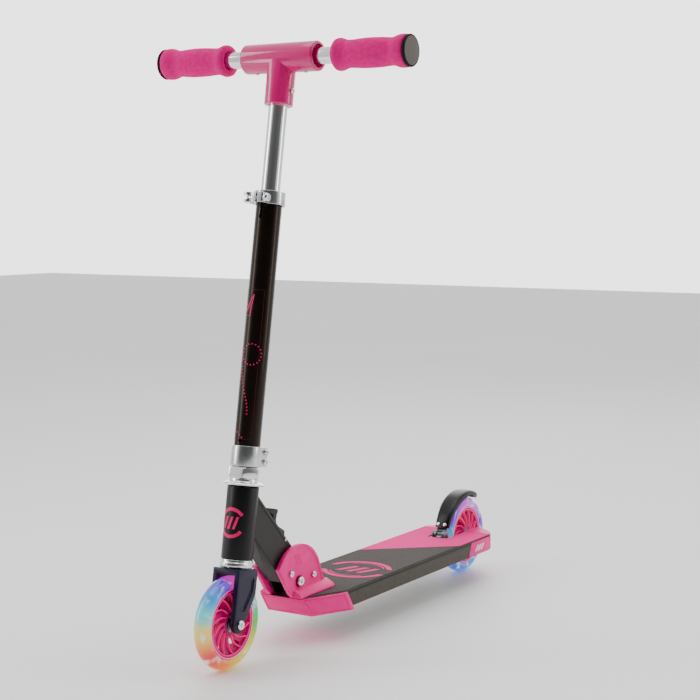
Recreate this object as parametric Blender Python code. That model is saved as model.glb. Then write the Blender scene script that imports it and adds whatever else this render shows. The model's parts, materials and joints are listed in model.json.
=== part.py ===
"""Folding kick scooter for children, built as an assembly of separate pieces.

It stands ready to ride on the plane z = 0. Forward is -Y, the rider's left is
+X and up is +Z, with the origin on the ground under the middle of the
wheelbase. Lengths in this script are millimetres; finish() makes them metres.
"""

import math

import bmesh
import bpy
from mathutils import Matrix, Vector

METRES = 0.001

# Driving dimensions: wheels and frame
WHEELBASE = 634.0
WHEEL_RADIUS = 60.0
TYRE_HALF_WIDTH = 12.0
WINDOWS = 7
AXLE_RADIUS = 4.0
RAKE = math.radians(9.6)
AXIS_BEHIND_AXLE = 9.7

# Deck, from the front axle backwards and from the ground up
DECK_HALF_WIDTH = 60.0
DECK_TOP = 68.0
DECK_BOTTOM = 44.2
DECK_REAR = 616.0
DECK_WALL = 2.5
WHEEL_SLOT_FRONT = 568.0
WHEEL_SLOT_HALF = 16.2
NOSE_LOW = 40.0
TAPE_TOP = 69.1

# Folding hinge
PIVOT = (134.5, 88.7)
CHEEK_INNER = 15.2
CHEEK_OUTER = 21.2
FOOT_OUTER = 33.5
NECK_HALF_WIDTH = 14.0
FRONT_CROSS_BOLT = (-19.0, 13.3)
REAR_CROSS_BOLT = (34.5, 2.6)
LEVER_PIN = (-21.5, 59.3)

# Steering column, measured along its axis from axle height
CROWN_TOP = 67.5
HEAD_LOW = 79.4
HEAD_HIGH = 172.3
HEAD_RADIUS = 20.5
NUT_LOW = 182.9
NUT_HIGH = 196.7
LOWER_CLAMP_LOW = 198.0
LOWER_CLAMP_HIGH = 224.0
OUTER_TUBE_RADIUS = 17.05
OUTER_TUBE_BORE = 14.65
OUTER_TUBE_HIGH = 541.0
UPPER_CLAMP_LOW = 535.4
UPPER_CLAMP_HIGH = 552.6
INNER_TUBE_RADIUS = 12.7
TEE_LOW = 666.0
BAR_HEIGHT = 729.0
SKEWER = (-24.0, 542.0)

# Handlebar, from the middle outwards
BAR_RADIUS = 11.0
TEE_RADIUS = 19.6
TEE_LEG_RADIUS = 19.0
TEE_HALF_LENGTH = 56.0
BUTTON_OUT = 38.0
GRIP_START = 84.0
GRIP_END = 188.8
BAR_END = 193.4

# Brake
BRAKE_PIN = (562.0, 73.0)
FENDER_INSIDE = 68.0
FENDER_OUTSIDE = 71.6
FENDER_START = math.radians(161.5)
FENDER_END = math.radians(48)
RIVET_ANGLE = math.radians(158)
RIVET_OUT = 5.6

FIT = 0.3  # gap between pieces that touch

FINISHES = {
    "black_powder_coat": ("1B1B1D", 0.45, 0.0),
    "gritty_black_coat": ("3A3A3C", 0.85, 0.0),
    "griptape": ("4A4A4C", 0.95, 0.0),
    "pink_paint": ("FF3D8B", 0.35, 0.0),
    "pink_plastic": ("FF3D8B", 0.4, 0.0),
    "pink_enamel": ("EC1C70", 0.2, 0.0),
    "pink_foam": ("FF5FA0", 0.8, 0.0),
    "chrome": ("E4E6E8", 0.08, 1.0),
    "polished_aluminium": ("D2D3D5", 0.25, 1.0),
    "steel": ("A9ABAE", 0.35, 1.0),
    "black_plastic": ("161617", 0.4, 0.0),
    "clear_urethane": ("F7B9DD", 0.1, 0.0),
}


def clear_scene():
    for obj in list(bpy.data.objects):
        bpy.data.objects.remove(obj, do_unlink=True)


def finish_material(name):
    """The Principled material of one finish, made on first use."""
    if name in bpy.data.materials:
        return bpy.data.materials[name]
    code, roughness, metallic = FINISHES[name]
    material = bpy.data.materials.new(name)
    material.use_nodes = True
    shader = material.node_tree.nodes["Principled BSDF"]
    rgb = [int(code[i : i + 2], 16) / 255 for i in (0, 2, 4)]
    linear = [c / 12.92 if c <= 0.04045 else ((c + 0.055) / 1.055) ** 2.4 for c in rgb]
    shader.inputs["Base Color"].default_value = (*linear, 1)
    shader.inputs["Roughness"].default_value = roughness
    shader.inputs["Metallic"].default_value = metallic
    return material


def frame_at(name, place, parent=None, pitch=0.0):
    """An empty that holds pieces: place is relative to the parent frame."""
    empty = bpy.data.objects.new(name, None)
    bpy.context.scene.collection.objects.link(empty)
    empty.parent = parent
    empty.location = Vector(place) * METRES
    empty.rotation_euler = (pitch, 0, 0)
    return empty


def finish(name, bm, material, frame):
    """Turns a bmesh in millimetres into a named object in its frame."""
    bmesh.ops.remove_doubles(bm, verts=bm.verts, dist=0.001)
    bmesh.ops.recalc_face_normals(bm, faces=bm.faces)
    bmesh.ops.scale(bm, vec=(METRES,) * 3, verts=bm.verts)
    mesh = bpy.data.meshes.new(name)
    bm.to_mesh(mesh)
    bm.free()
    mesh.materials.append(finish_material(material))
    mesh.shade_smooth()
    mesh.set_sharp_from_angle(angle=math.radians(35))
    obj = bpy.data.objects.new(name, mesh)
    bpy.context.scene.collection.objects.link(obj)
    obj.parent = frame
    return obj


def combine(obj, tools, operation, frame=None):
    """Adds a live Boolean with a hidden helper made of separate shapes."""
    bm = tools[0]
    for tool in tools[1:]:
        mesh = bpy.data.meshes.new("helper")
        tool.to_mesh(mesh)
        tool.free()
        bm.from_mesh(mesh)
        bpy.data.meshes.remove(mesh)
    step = len(obj.modifiers) + 1
    helper = finish(f"{obj.name}_{operation.lower()}_{step}", bm, "steel", frame or obj.parent)
    helper.hide_render = True
    helper.display_type = "WIRE"
    modifier = obj.modifiers.new(f"{operation.lower()} {step}", "BOOLEAN")
    modifier.operation = operation
    modifier.solver = "EXACT"
    modifier.object = helper


def cut(obj, *tools, frame=None):
    combine(obj, list(tools), "DIFFERENCE", frame)


def weld(obj, *tools):
    for tool in tools:
        combine(obj, [tool], "UNION")


def prism(outline, low, high, axis="X"):
    """A flat outline pushed from low to high along an axis.

    The outline holds the other two coordinates, in their X, Y, Z order.
    """
    place = {"X": lambda a, b: (low, a, b), "Y": lambda a, b: (a, low, b), "Z": lambda a, b: (a, b, low)}
    along = {"X": (1, 0, 0), "Y": (0, 1, 0), "Z": (0, 0, 1)}
    bm = bmesh.new()
    face = bm.faces.new([bm.verts.new(place[axis](a, b)) for a, b in outline])
    pushed = bmesh.ops.extrude_face_region(bm, geom=[face])["geom"]
    moved = [v for v in pushed if isinstance(v, bmesh.types.BMVert)]
    bmesh.ops.translate(bm, vec=Vector(along[axis]) * (high - low), verts=moved)
    return bm


def box(low, high):
    side = [(low[1], low[2]), (high[1], low[2]), (high[1], high[2]), (low[1], high[2])]
    return prism(side, low[0], high[0])


def loft(bottom, bottom_z, top, top_z):
    """A solid between two plan outlines with the same number of points."""
    bm = bmesh.new()
    low = [bm.verts.new((x, y, bottom_z)) for x, y in bottom]
    high = [bm.verts.new((x, y, top_z)) for x, y in top]
    bm.faces.new(low)
    bm.faces.new(high)
    for i in range(len(low)):
        j = (i + 1) % len(low)
        bm.faces.new((low[i], low[j], high[j], high[i]))
    return bm


# A few degrees of turn keep the seams of crossing round shapes apart.
SEAM = Matrix.Rotation(math.radians(4), 4, "Z")
TURNED_TO = {
    "Z": Matrix(),
    "X": Matrix.Rotation(math.pi / 2, 4, "Y") @ SEAM,
    "Y": Matrix.Rotation(-math.pi / 2, 4, "X") @ SEAM,
}


def turned(profile, steps=24, axis="Z", centre=(0, 0, 0), solid=False):
    """A profile of (radius, height) points spun about an axis.

    A solid profile runs from pole to pole; otherwise it is a closed ring.
    """
    bm = bmesh.new()
    verts = [bm.verts.new((radius, 0, height)) for radius, height in profile]
    edges = [bm.edges.new(pair) for pair in zip(verts, verts[1:])]
    if not solid:
        edges.append(bm.edges.new((verts[-1], verts[0])))
    bmesh.ops.spin(
        bm, geom=verts + edges, cent=(0, 0, 0), axis=(0, 0, 1), angle=math.tau, steps=steps, use_merge=True
    )
    bmesh.ops.remove_doubles(bm, verts=bm.verts, dist=0.001)
    bmesh.ops.transform(bm, matrix=Matrix.Translation(centre) @ TURNED_TO[axis], verts=bm.verts)
    return bm


def rod(radius, low, high, axis="Z", centre=(0, 0, 0), steps=20):
    bm = bmesh.new()
    place = Matrix.Translation(centre) @ TURNED_TO[axis] @ Matrix.Translation((0, 0, (low + high) / 2))
    bmesh.ops.create_cone(
        bm, cap_ends=True, segments=steps, radius1=radius, radius2=radius, depth=high - low, matrix=place
    )
    return bm


def pipe(outer, inner, low, high, axis="Z", centre=(0, 0, 0), steps=24):
    return turned([(inner, low), (outer, low), (outer, high), (inner, high)], steps, axis, centre)


def hex_nut(across_corners, bore, low, high, axis="X", centre=(0, 0, 0)):
    """A six-sided nut; its bore has 24 sides, four to each flat."""
    bm = bmesh.new()
    sides, per_side = 6, 4
    count = sides * per_side
    rings = {"inner_low": [], "outer_low": [], "outer_high": [], "inner_high": []}
    for i in range(count):
        angle = math.tau * i / count
        flat = (angle % (math.tau / sides)) - math.pi / sides
        reach = across_corners / 2 * math.cos(math.pi / sides) / math.cos(flat)
        for key, radius, height in (
            ("inner_low", bore, low),
            ("outer_low", reach, low),
            ("outer_high", reach, high),
            ("inner_high", bore, high),
        ):
            rings[key].append(bm.verts.new((radius * math.cos(angle), radius * math.sin(angle), height)))
    loops = list(rings.values())
    for one, other in zip(loops, loops[1:] + loops[:1]):
        for i in range(count):
            j = (i + 1) % count
            bm.faces.new((one[i], one[j], other[j], other[i]))
    bmesh.ops.transform(bm, matrix=Matrix.Translation(centre) @ TURNED_TO[axis], verts=bm.verts)
    return bm


def arc(centre, radius, start, end, steps):
    """Points on an arc; the angles are in degrees."""
    points = []
    for i in range(steps + 1):
        angle = math.radians(start + (end - start) * i / steps)
        points.append((centre[0] + radius * math.cos(angle), centre[1] + radius * math.sin(angle)))
    return points


def swept_about_x(section, start, end, steps):
    """A closed section of (x, radius) points swept about X, its far end rounded."""
    bm = bmesh.new()
    rings = []
    for i in range(steps + 1):
        angle = start + (end - start) * i / steps
        narrowing = (1.0, 0.93, 0.72)[max(0, i - steps + 2)]
        ring = [(x * narrowing, r * math.cos(angle), r * math.sin(angle)) for x, r in section]
        rings.append([bm.verts.new(point) for point in ring])
    for one, other in zip(rings, rings[1:]):
        for j in range(len(section)):
            k = (j + 1) % len(section)
            bm.faces.new((one[j], one[k], other[k], other[j]))
    bm.faces.new(rings[0])
    bm.faces.new(rings[-1])
    return bm


def shifted(points, offset):
    return [(a - offset[0], b - offset[1]) for a, b in points]


def mirrored(bm, side):
    """Turns a piece made for the rider's left into its twin on the right."""
    if side < 0:
        bmesh.ops.scale(bm, vec=(-1, 1, 1), verts=bm.verts)
    return bm


# Deck and its covers


def nose_plan(z, grow, rear=DECK_REAR):
    """The deck's plan outline at one height: its nose narrows and slopes back."""
    rise = z - NOSE_LOW
    front = 145.2 - 0.79 * rise - grow
    front_half = 33.2 - 0.084 * rise + grow
    shoulder = 203.0 - 0.5625 * rise - grow
    half = DECK_HALF_WIDTH + grow
    right = [(front_half, front), (half, shoulder), (half, rear)]
    return right + [(-x, y) for x, y in reversed(right)]


def make_deck(frame):
    """Aluminium extrusion with three cells, a tapered nose and a wheel slot."""
    half, edge = DECK_HALF_WIDTH, 1.8
    section = [
        (-half, DECK_BOTTOM + edge), (-half + edge, DECK_BOTTOM), (half - edge, DECK_BOTTOM),
        (half, DECK_BOTTOM + edge), (half, DECK_TOP - edge), (half - edge, DECK_TOP),
        (-half + edge, DECK_TOP), (-half, DECK_TOP - edge),
    ]
    deck = finish("deck", prism(section, 110, DECK_REAR, "Y"), "gritty_black_coat", frame)
    low, high = DECK_BOTTOM + DECK_WALL, DECK_TOP - DECK_WALL
    cells = ((-half + DECK_WALL, -19.0), (-15.6, 15.6), (19.0, half - DECK_WALL))
    cut(deck, *[box((a, 100, low), (b, 630, high)) for a, b in cells])
    envelope = loft(nose_plan(NOSE_LOW, 0, 640), NOSE_LOW, nose_plan(72, 0, 640), 72)
    combine(deck, [envelope], "INTERSECT")
    cut(deck, box((-WHEEL_SLOT_HALF, WHEEL_SLOT_FRONT, 30), (WHEEL_SLOT_HALF, 640, 90)))
    cut(deck, box((-13.8, 552.9, 60), (13.8, 570, 90)))


def make_griptape(frame):
    """Gritty sheet with tongues beside the hinge and a cut-out for the wheel."""
    right = [(34.9, 207), (34.9, 138), (58.6, 190), (58.6, 615), (16.8, 615), (16.8, 551)]
    outline = right + [(-x, y) for x, y in reversed(right)]
    finish("griptape", prism(outline, DECK_TOP + FIT, TAPE_TOP, "Z"), "griptape", frame)


def make_nose_bumper(frame):
    """Moulded cap round the deck's nose: a floor, two sides and a front."""
    low, high = NOSE_LOW + 0.3, DECK_TOP - 0.5
    rear_low, rear_high = 208.5, 190.5
    outer = loft(nose_plan(low, 2.5, rear_low), low, nose_plan(high, 2.5, rear_high), high)
    bumper = finish("nose_bumper", outer, "pink_plastic", frame)
    floor = DECK_BOTTOM - FIT
    cut(bumper, loft(nose_plan(floor, 0.35, 240), floor, nose_plan(75, 0.35, 240), 75))


def make_tail_dropout(side, frame):
    """Cast end of one tail prong, which carries the rear axle."""
    name = "tail_dropout_left" if side > 0 else "tail_dropout_right"
    plan = [(13.6, 616.3), (59.6, 616.3), (58.4, 623), (52, 633.5), (40, 645), (27, 653.5), (13.6, 655)]
    block = mirrored(prism(plan, 44.6, 69.2, "Z"), side)
    dropout = finish(name, block, "pink_paint", frame)
    tongue = mirrored(box((13.6, 590, 50), (15.9, 625, 65)), side)
    boss = mirrored(rod(6.5, 8.6, 15, "X", (0, WHEELBASE, WHEEL_RADIUS)), side)
    weld(dropout, tongue, boss)
    recess = mirrored(rod(7.5, 22, 62, "X", (0, WHEELBASE, WHEEL_RADIUS)), side)
    bore = mirrored(rod(AXLE_RADIUS + FIT, 5, 24, "X", (0, WHEELBASE, WHEEL_RADIUS)), side)
    cut(dropout, recess)
    cut(dropout, bore)


# Folding hinge


def make_cheek(side, frame):
    """One hinge plate: a domed cheek on a foot that flares over the deck."""
    base = DECK_TOP + FIT - PIVOT[1]
    front = [(-13.5, base), (-22.5, -12.7), (-47.5, 23.3)]
    dome = arc((0.5, -4.7), 54.5, 149.7, 8.5, 16)
    rear = [(61.5, -8.7), (69.5, -18.0), (69.5, base)]
    plate = mirrored(prism(front + dome[1:] + rear, CHEEK_INNER, CHEEK_OUTER), side)
    cheek = finish("hinge_cheek_left" if side > 0 else "hinge_cheek_right", plate, "pink_paint", frame)
    section = [(17, base), (FOOT_OUTER, base), (FOOT_OUTER, base + 3.2)]
    section += [(31, base + 5.4), (20.5, base + 11), (17, base + 11)]
    weld(cheek, mirrored(prism(section, -14, 69.4, "Y"), side))
    holes = [rod(AXLE_RADIUS + FIT, 10, 40, "X")]
    for y, z in (FRONT_CROSS_BOLT, REAR_CROSS_BOLT):
        holes.append(rod(3.0 + FIT, 10, 40, "X", (0, y, z), 16))
    cut(cheek, *[mirrored(hole, side) for hole in holes])


def make_hinge_bolts(frame):
    head, stop = CHEEK_OUTER + FIT, -CHEEK_OUTER - FIT
    bolt = [(0, stop - 5), (AXLE_RADIUS, stop - 5), (AXLE_RADIUS, head)]
    bolt += [(6.6, head), (6.6, head + 3), (5.4, head + 4), (0, head + 4)]
    finish("hinge_pivot_bolt", turned(bolt, 16, "X", solid=True), "chrome", frame)
    finish("hinge_pivot_nut", hex_nut(13.4, AXLE_RADIUS + FIT, stop - 4, stop), "chrome", frame)
    for name, (y, z) in (("cross_bolt_front", FRONT_CROSS_BOLT), ("cross_bolt_rear", REAR_CROSS_BOLT)):
        half = [(3.0, head), (4.4, head), (4.4, head + 1.4), (3.6, head + 2.2), (0, head + 2.2)]
        profile = [(r, -h) for r, h in reversed(half)] + half
        finish(name, turned(profile, 12, "X", (0, y, z), solid=True), "chrome", frame)
    block = [(39, -20), (62, -20), (62, -6), (56, 8), (50, 8), (40, -4)]
    finish("hinge_block", prism(block, -14.6, 14.6), "black_plastic", frame)


def beam_point(across, along):
    """A point of the neck: across its top face and along it from the pivot."""
    return (0.724 * across - 0.69 * along, 0.69 * across + 0.724 * along)


def belly_point(across, along):
    """The same for the neck's lower face, which runs a little steeper."""
    return (0.751 * across - 0.66 * along, 0.66 * across + 0.751 * along)


def make_neck_beam(fold, head):
    """Box beam from the head tube down to a forked tongue on the pivot bolt."""
    tongue = 18.8
    top = [(-96.0, 142.0), beam_point(28.5, 33), beam_point(tongue, 30)]
    outline = top + arc((0, 0), tongue, 43.6, -138.7, 14) + [(-104.9, 89.4)]
    beam = finish("neck_beam", prism(outline, -NECK_HALF_WIDTH, NECK_HALF_WIDTH), "black_powder_coat", fold)
    inside = [
        beam_point(25.5, 175), beam_point(25.5, 37), beam_point(15.8, 33), beam_point(15.8, -45),
        belly_point(-32, -45), belly_point(-32, 8), belly_point(-16.5, 14), belly_point(-16.5, 130),
    ]
    cut(beam, prism(inside, -10.5, 10.5))
    cut(beam, rod(HEAD_RADIUS + FIT, 40, 270, steps=40), frame=head)
    reach = math.hypot(*FRONT_CROSS_BOLT)
    start = math.degrees(math.atan2(FRONT_CROSS_BOLT[1], FRONT_CROSS_BOLT[0]))
    slot = arc((0, 0), reach + 4.2, start, 245, 10) + arc((0, 0), reach - 4.2, 245, start, 10)
    slot += arc(FRONT_CROSS_BOLT, 4.2, start + 180, start + 360, 6)[1:-1]
    cut(beam, prism(slot, -20, 20))
    cut(beam, rod(AXLE_RADIUS + FIT, -20, 20, "X"), rod(2.5, -20, 20, "X", (0, *LEVER_PIN), 16))
    middle = LEVER_PIN
    gap = [(28, 14), (28, -13), (-9, -13), (-9, 14)]
    window = [(middle[0] + p[0], middle[1] + p[1]) for p in (beam_point(a, -b) for a, b in gap)]
    cut(beam, prism(window, -7.5, 7.5))


def make_release_lever(frame):
    """S-shaped thumb lever whose tail reaches down beside the front cross bolt."""
    outline = [
        (-29.5, 16.5), (-23.5, 16.8), (-17.5, 52), (-15.6, 57), (-13.2, 62), (-12, 66.7), (-13.5, 70),
        (-18, 72.5), (-26, 77), (-30.9, 81.5), (-32.5, 86), (-30.5, 92), (-27, 98.5), (-29, 101),
        (-49.3, 105.8), (-51.5, 102.5), (-39.5, 95), (-37.5, 88), (-36.5, 82), (-33.5, 78.4),
        (-27, 70), (-27.5, 58),
    ]
    body = prism(shifted(outline, LEVER_PIN), -6.5, 6.5)
    lever = finish("release_lever", body, "black_plastic", frame)
    weld(lever, rod(6.2, -6.3, 6.3, "X", steps=20))
    cut(lever, rod(2.5, -10, 10, "X", steps=16))


# Head tube, fork and stem


def make_head(head):
    finish("head_tube", pipe(HEAD_RADIUS, 17.0, HEAD_LOW, HEAD_HIGH, steps=28), "black_powder_coat", head)
    top, skirt = HEAD_HIGH + FIT, 16.7
    upper = [
        (15, top - 7), (skirt, top - 7), (skirt, top), (20.6, top), (27.0, top + 1.9),
        (27.0, top + 4), (20.5, top + 6), (19.5, NUT_LOW - FIT), (15, NUT_LOW - FIT),
    ]
    finish("headset_cup_upper", turned(upper, 24), "chrome", head)
    low = HEAD_LOW - FIT
    lower = [
        (15, low + 7), (15, CROWN_TOP + 1.4), (20.2, CROWN_TOP + 1.4), (22.2, CROWN_TOP + 3),
        (22.2, low - 4), (20.8, low), (skirt, low), (skirt, low + 7),
    ]
    finish("headset_cup_lower", turned(lower, 24), "chrome", head)


def make_fork(frame, axle):
    """Crown and two tapered legs in one piece, with bosses for the wheel."""
    outer, inner = 20.5, 14.0
    outline = [(-21, CROWN_TOP), (21, CROWN_TOP), (20.5, 36)] + arc(axle, 11.5, 8, -180, 12)
    fork = finish("fork", prism(outline, -outer, outer), "black_powder_coat", frame)
    cut(fork, box((-inner, -50, -40), (inner, 50, 60.8)))
    weld(fork, rod(6.5, 8.6, 16, "X", (0, *axle)), rod(6.5, -16, -8.6, "X", (0, *axle)))
    panel = [(-14, 57), (14, 57), (13, 38), (-1, 14), (-14, 14)]
    cut(fork, prism(panel, outer - 1.3, 30), prism(panel, -30, -outer + 1.3))
    cut(fork, rod(AXLE_RADIUS + FIT, -40, 40, "X", (0, *axle)))


def make_axle(name, face, place, frame):
    """Axle bolt with its head on the left and its nut on the right."""
    left, right = face + FIT, -face - FIT
    bolt = [(0, right - 5), (AXLE_RADIUS, right - 5), (AXLE_RADIUS, left)]
    bolt += [(6.2, left), (6.2, left + 2.6), (5.2, left + 3.5), (0, left + 3.5)]
    finish(f"{name}_bolt", turned(bolt, 16, "X", (0, *place), solid=True), "chrome", frame)
    nut = hex_nut(13.0, AXLE_RADIUS + FIT, right - 4, right, "X", (0, *place))
    finish(f"{name}_nut", nut, "chrome", frame)


def make_stem(frame):
    finish("steerer_tube", pipe(14.3, 11.2, CROWN_TOP + 0.4, 218), "steel", frame)
    finish("headset_locknut", hex_nut(38.0, OUTER_TUBE_BORE, NUT_LOW, NUT_HIGH, "Z"), "chrome", frame)
    tube = pipe(OUTER_TUBE_RADIUS, OUTER_TUBE_BORE, NUT_HIGH + 0.5, OUTER_TUBE_HIGH)
    outer = finish("stem_outer_tube", tube, "black_powder_coat", frame)
    keyhole = [rod(2.7, -20, -12, "Y", (0, 0, 519), 16), box((-1.5, -19.5, 520.5), (1.5, -12.5, 560))]
    for part in keyhole:
        cut(outer, part)
    bushing = pipe(OUTER_TUBE_BORE - FIT, INNER_TUBE_RADIUS + FIT, 505, OUTER_TUBE_HIGH)
    finish("stem_bushing", bushing, "black_plastic", frame)


def make_lower_clamp(frame):
    """Tall collar with a split lug at the rear and two bolts through it."""
    low, high = LOWER_CLAMP_LOW, LOWER_CLAMP_HIGH
    collar = pipe(19.4, OUTER_TUBE_RADIUS + 0.35, low, high, steps=28)
    clamp = finish("lower_clamp", collar, "polished_aluminium", frame)
    weld(clamp, box((-10.5, 17.7, low + 0.6), (10.5, 33.5, high - 0.6)))
    cut(clamp, box((-0.9, 14, low - 5), (0.9, 40, high + 5)))
    for name, height in (("lower_clamp_bolt_upper", 217.6), ("lower_clamp_bolt_lower", 205.0)):
        centre = (0, 27.0, height)
        cut(clamp, rod(2.2 + FIT, -20, 20, "X", centre, 16))
        profile = [(0, -13), (2.2, -13), (2.2, 10.8), (3.9, 10.8), (3.9, 13.6), (3.2, 14.2), (0, 14.2)]
        finish(name, turned(profile, 12, "X", centre, solid=True), "chrome", frame)


def make_upper_clamp(frame):
    """Collar that grips the inner tube, with two ears and its skewer in front."""
    low, high, bore = UPPER_CLAMP_LOW, UPPER_CLAMP_HIGH, OUTER_TUBE_RADIUS + 0.35
    grip = INNER_TUBE_RADIUS + 0.5
    profile = [(bore, low), (20.6, low), (20.6, high), (grip, high), (grip, 542), (bore, 542)]
    clamp = finish("upper_clamp", turned(profile, 28), "polished_aluminium", frame)
    weld(clamp, box((-9.5, -30, SKEWER[1] - 6.6), (9.5, -17.9, SKEWER[1] + 6.6)))
    cut(clamp, box((-1.2, -40, low - 10), (1.2, -8, high + 5)))
    cut(clamp, rod(2.5 + FIT, -20, 20, "X", (0, *SKEWER), 16))
    skewer = finish("clamp_skewer", rod(2.5, -16.5, 14.6, "X", (0, *SKEWER), 16), "chrome", frame)
    weld(skewer, rod(3.0, -6.4, 6.4, "Z", (-16.5, *SKEWER), 20))
    nut = [(2.8, 9.9), (5.9, 9.9), (5.9, 13.4), (4.4, 15.4), (2.8, 15.4)]
    finish("clamp_nut", turned(nut, 16, "X", (0, *SKEWER)), "chrome", frame)


def make_clamp_lever(frame):
    """Quick-release lever: a slotted cam head and an arm curved round the stem."""
    stem = (16.5, -SKEWER[0])
    head = pipe(6.0, 3.3, -6.5, 6.5, steps=24)
    lever = finish("clamp_lever", head, "polished_aluminium", frame)
    arm = arc(stem, 27.6, 228, 140, 9) + arc(stem, 24.0, 140, 226, 9)
    weld(lever, prism(arm, -5.2, 5.2, "Z"))
    sector = [(0, 0)] + arc((0, 0), 12, 60, -210, 9)
    cut(lever, prism(sector, -2.9, 2.9, "Z"))


# Handlebar


def make_inner_stem(frame):
    """Height-adjustable tube with the tee clamped on its top."""
    screw_height, screw_hole = 684.8, 2.3
    inner = finish("stem_inner_tube", pipe(INNER_TUBE_RADIUS, 10.9, 420, 705), "chrome", frame)
    cut(inner, rod(screw_hole, 8, 25, "X", (0, 0, screw_height), 16))
    tee = finish("handlebar_tee", rod(TEE_LEG_RADIUS, TEE_LOW, BAR_HEIGHT, steps=24), "pink_enamel", frame)
    weld(tee, rod(TEE_RADIUS, -TEE_HALF_LENGTH, TEE_HALF_LENGTH, "X", (0, 0, BAR_HEIGHT), 24))
    cut(tee, rod(INNER_TUBE_RADIUS + FIT, 650, 708, steps=24))
    bore = [(BAR_RADIUS + FIT, 46), (15.4, 46), (15.4, 70), (0, 70)]
    bore = [(r, -x) for r, x in reversed(bore)] + bore
    cut(tee, turned(bore, 24, "X", (0, 0, BAR_HEIGHT), solid=True))
    holes = [rod(3.1, 706, 722, "Z", (x, 0, 0), 16) for x in (-BUTTON_OUT, BUTTON_OUT)]
    cut(tee, *holes, rod(screw_hole, 8, 25, "X", (0, 0, screw_height), 16))
    head = TEE_LEG_RADIUS + FIT
    screw = [(0, 9.5), (2.0, 9.5), (2.0, head), (3.8, head), (3.8, head + 1.8), (3.1, head + 2.6)]
    screw += [(0, head + 2.6)]
    finish("tee_screw", turned(screw, 12, "X", (0, 0, screw_height), solid=True), "chrome", frame)


def make_handlebar_half(side, frame):
    """One half of the bar with its foam grip and its end plug."""
    word = "left" if side > 0 else "right"
    tube = finish(f"handlebar_{word}", mirrored(pipe(BAR_RADIUS, 9.4, 3, 188.9, "X"), side), "chrome", frame)
    cut(tube, rod(3.1, -14, -6, "Z", (side * BUTTON_OUT, 0, 0), 16))
    a, b, bore = GRIP_START, GRIP_END, BAR_RADIUS + FIT
    grip = [
        (bore, a), (19.8, a), (21, a + 2), (21, a + 4.5), (18.3, a + 11), (18.5, (a + b) / 2),
        (18.3, b - 11), (21, b - 4.5), (21, b - 1.5), (20, b), (bore, b),
    ]
    finish(f"grip_{word}", mirrored(turned(grip, 20, "X"), side), "pink_foam", frame)
    plug = [(0, 182), (9.1, 182), (9.1, b + 0.4), (20, b + 0.4)]
    plug += [(20.4, b + 1.8), (19.4, b + 3.6), (15, BAR_END), (0, BAR_END)]
    finish(f"bar_plug_{word}", mirrored(turned(plug, 20, "X", solid=True), side), "black_plastic", frame)


def make_push_button(side, frame):
    """Spring button that locks a bar half into the tee."""
    tip = -TEE_RADIUS - 1.7
    profile = [(0, tip), (2.0, tip), (2.8, tip + 1), (2.8, -8), (4.2, -8), (4.2, -6), (0, -6)]
    name = "push_button_left" if side > 0 else "push_button_right"
    finish(name, turned(profile, 12, solid=True), "steel", frame)


# Wheels


def window_outline():
    """One swirled window of the wheel core, as (y, z) points."""
    inner, outer, lean = 17.5, 37.0, 24.0
    edge = []
    for radius, start, end in ((inner, 6, 26), (24.0, 6, 38), (31.0, 6, 42), (outer, 10, 38)):
        turn = lean * (radius - inner) / (outer - inner)
        edge.append((radius, start + turn, end + turn))
    rising = [(r, a) for r, a, _ in edge]
    falling = [(r, b) for r, _, b in reversed(edge)]
    outline = rising + [(outer + 0.9, 24 + lean)] + falling
    return [(r * math.cos(math.radians(a)), r * math.sin(math.radians(a))) for r, a in outline]


def make_wheel(name, frame):
    """Light-up wheel: urethane tyre, windowed core and two ball bearings."""
    flat, rim = 3.0, 45.5
    half_tyre = [(rim, 9.2), (50.5, TYRE_HALF_WIDTH), (56.5, 10.2), (WHEEL_RADIUS, flat)]
    tyre = half_tyre + [(r, -x) for r, x in reversed(half_tyre)]
    finish(f"{name}_tyre", turned(tyre, 36, "X"), "clear_urethane", frame)
    half_core = [(11.3, 8.5), (15.0, 8.5), (15.4, 5), (39.0, 5), (40.2, 9), (rim - FIT, 9)]
    core_profile = half_core + [(r, -x) for r, x in reversed(half_core)]
    core = finish(f"{name}_wheel_core", turned(core_profile, 28, "X"), "pink_plastic", frame)
    windows = []
    for i in range(WINDOWS):
        window = prism(window_outline(), -12, 12)
        bmesh.ops.rotate(window, matrix=Matrix.Rotation(math.tau * i / WINDOWS, 3, "X"), verts=window.verts)
        windows.append(window)
    cut(core, *windows)
    for side, word in ((1, "left"), (-1, "right")):
        bearing = mirrored(pipe(11.0, AXLE_RADIUS + FIT, 1.2, 8.2, "X", steps=16), side)
        finish(f"{name}_bearing_{word}", bearing, "steel", frame)


# Brake


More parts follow.
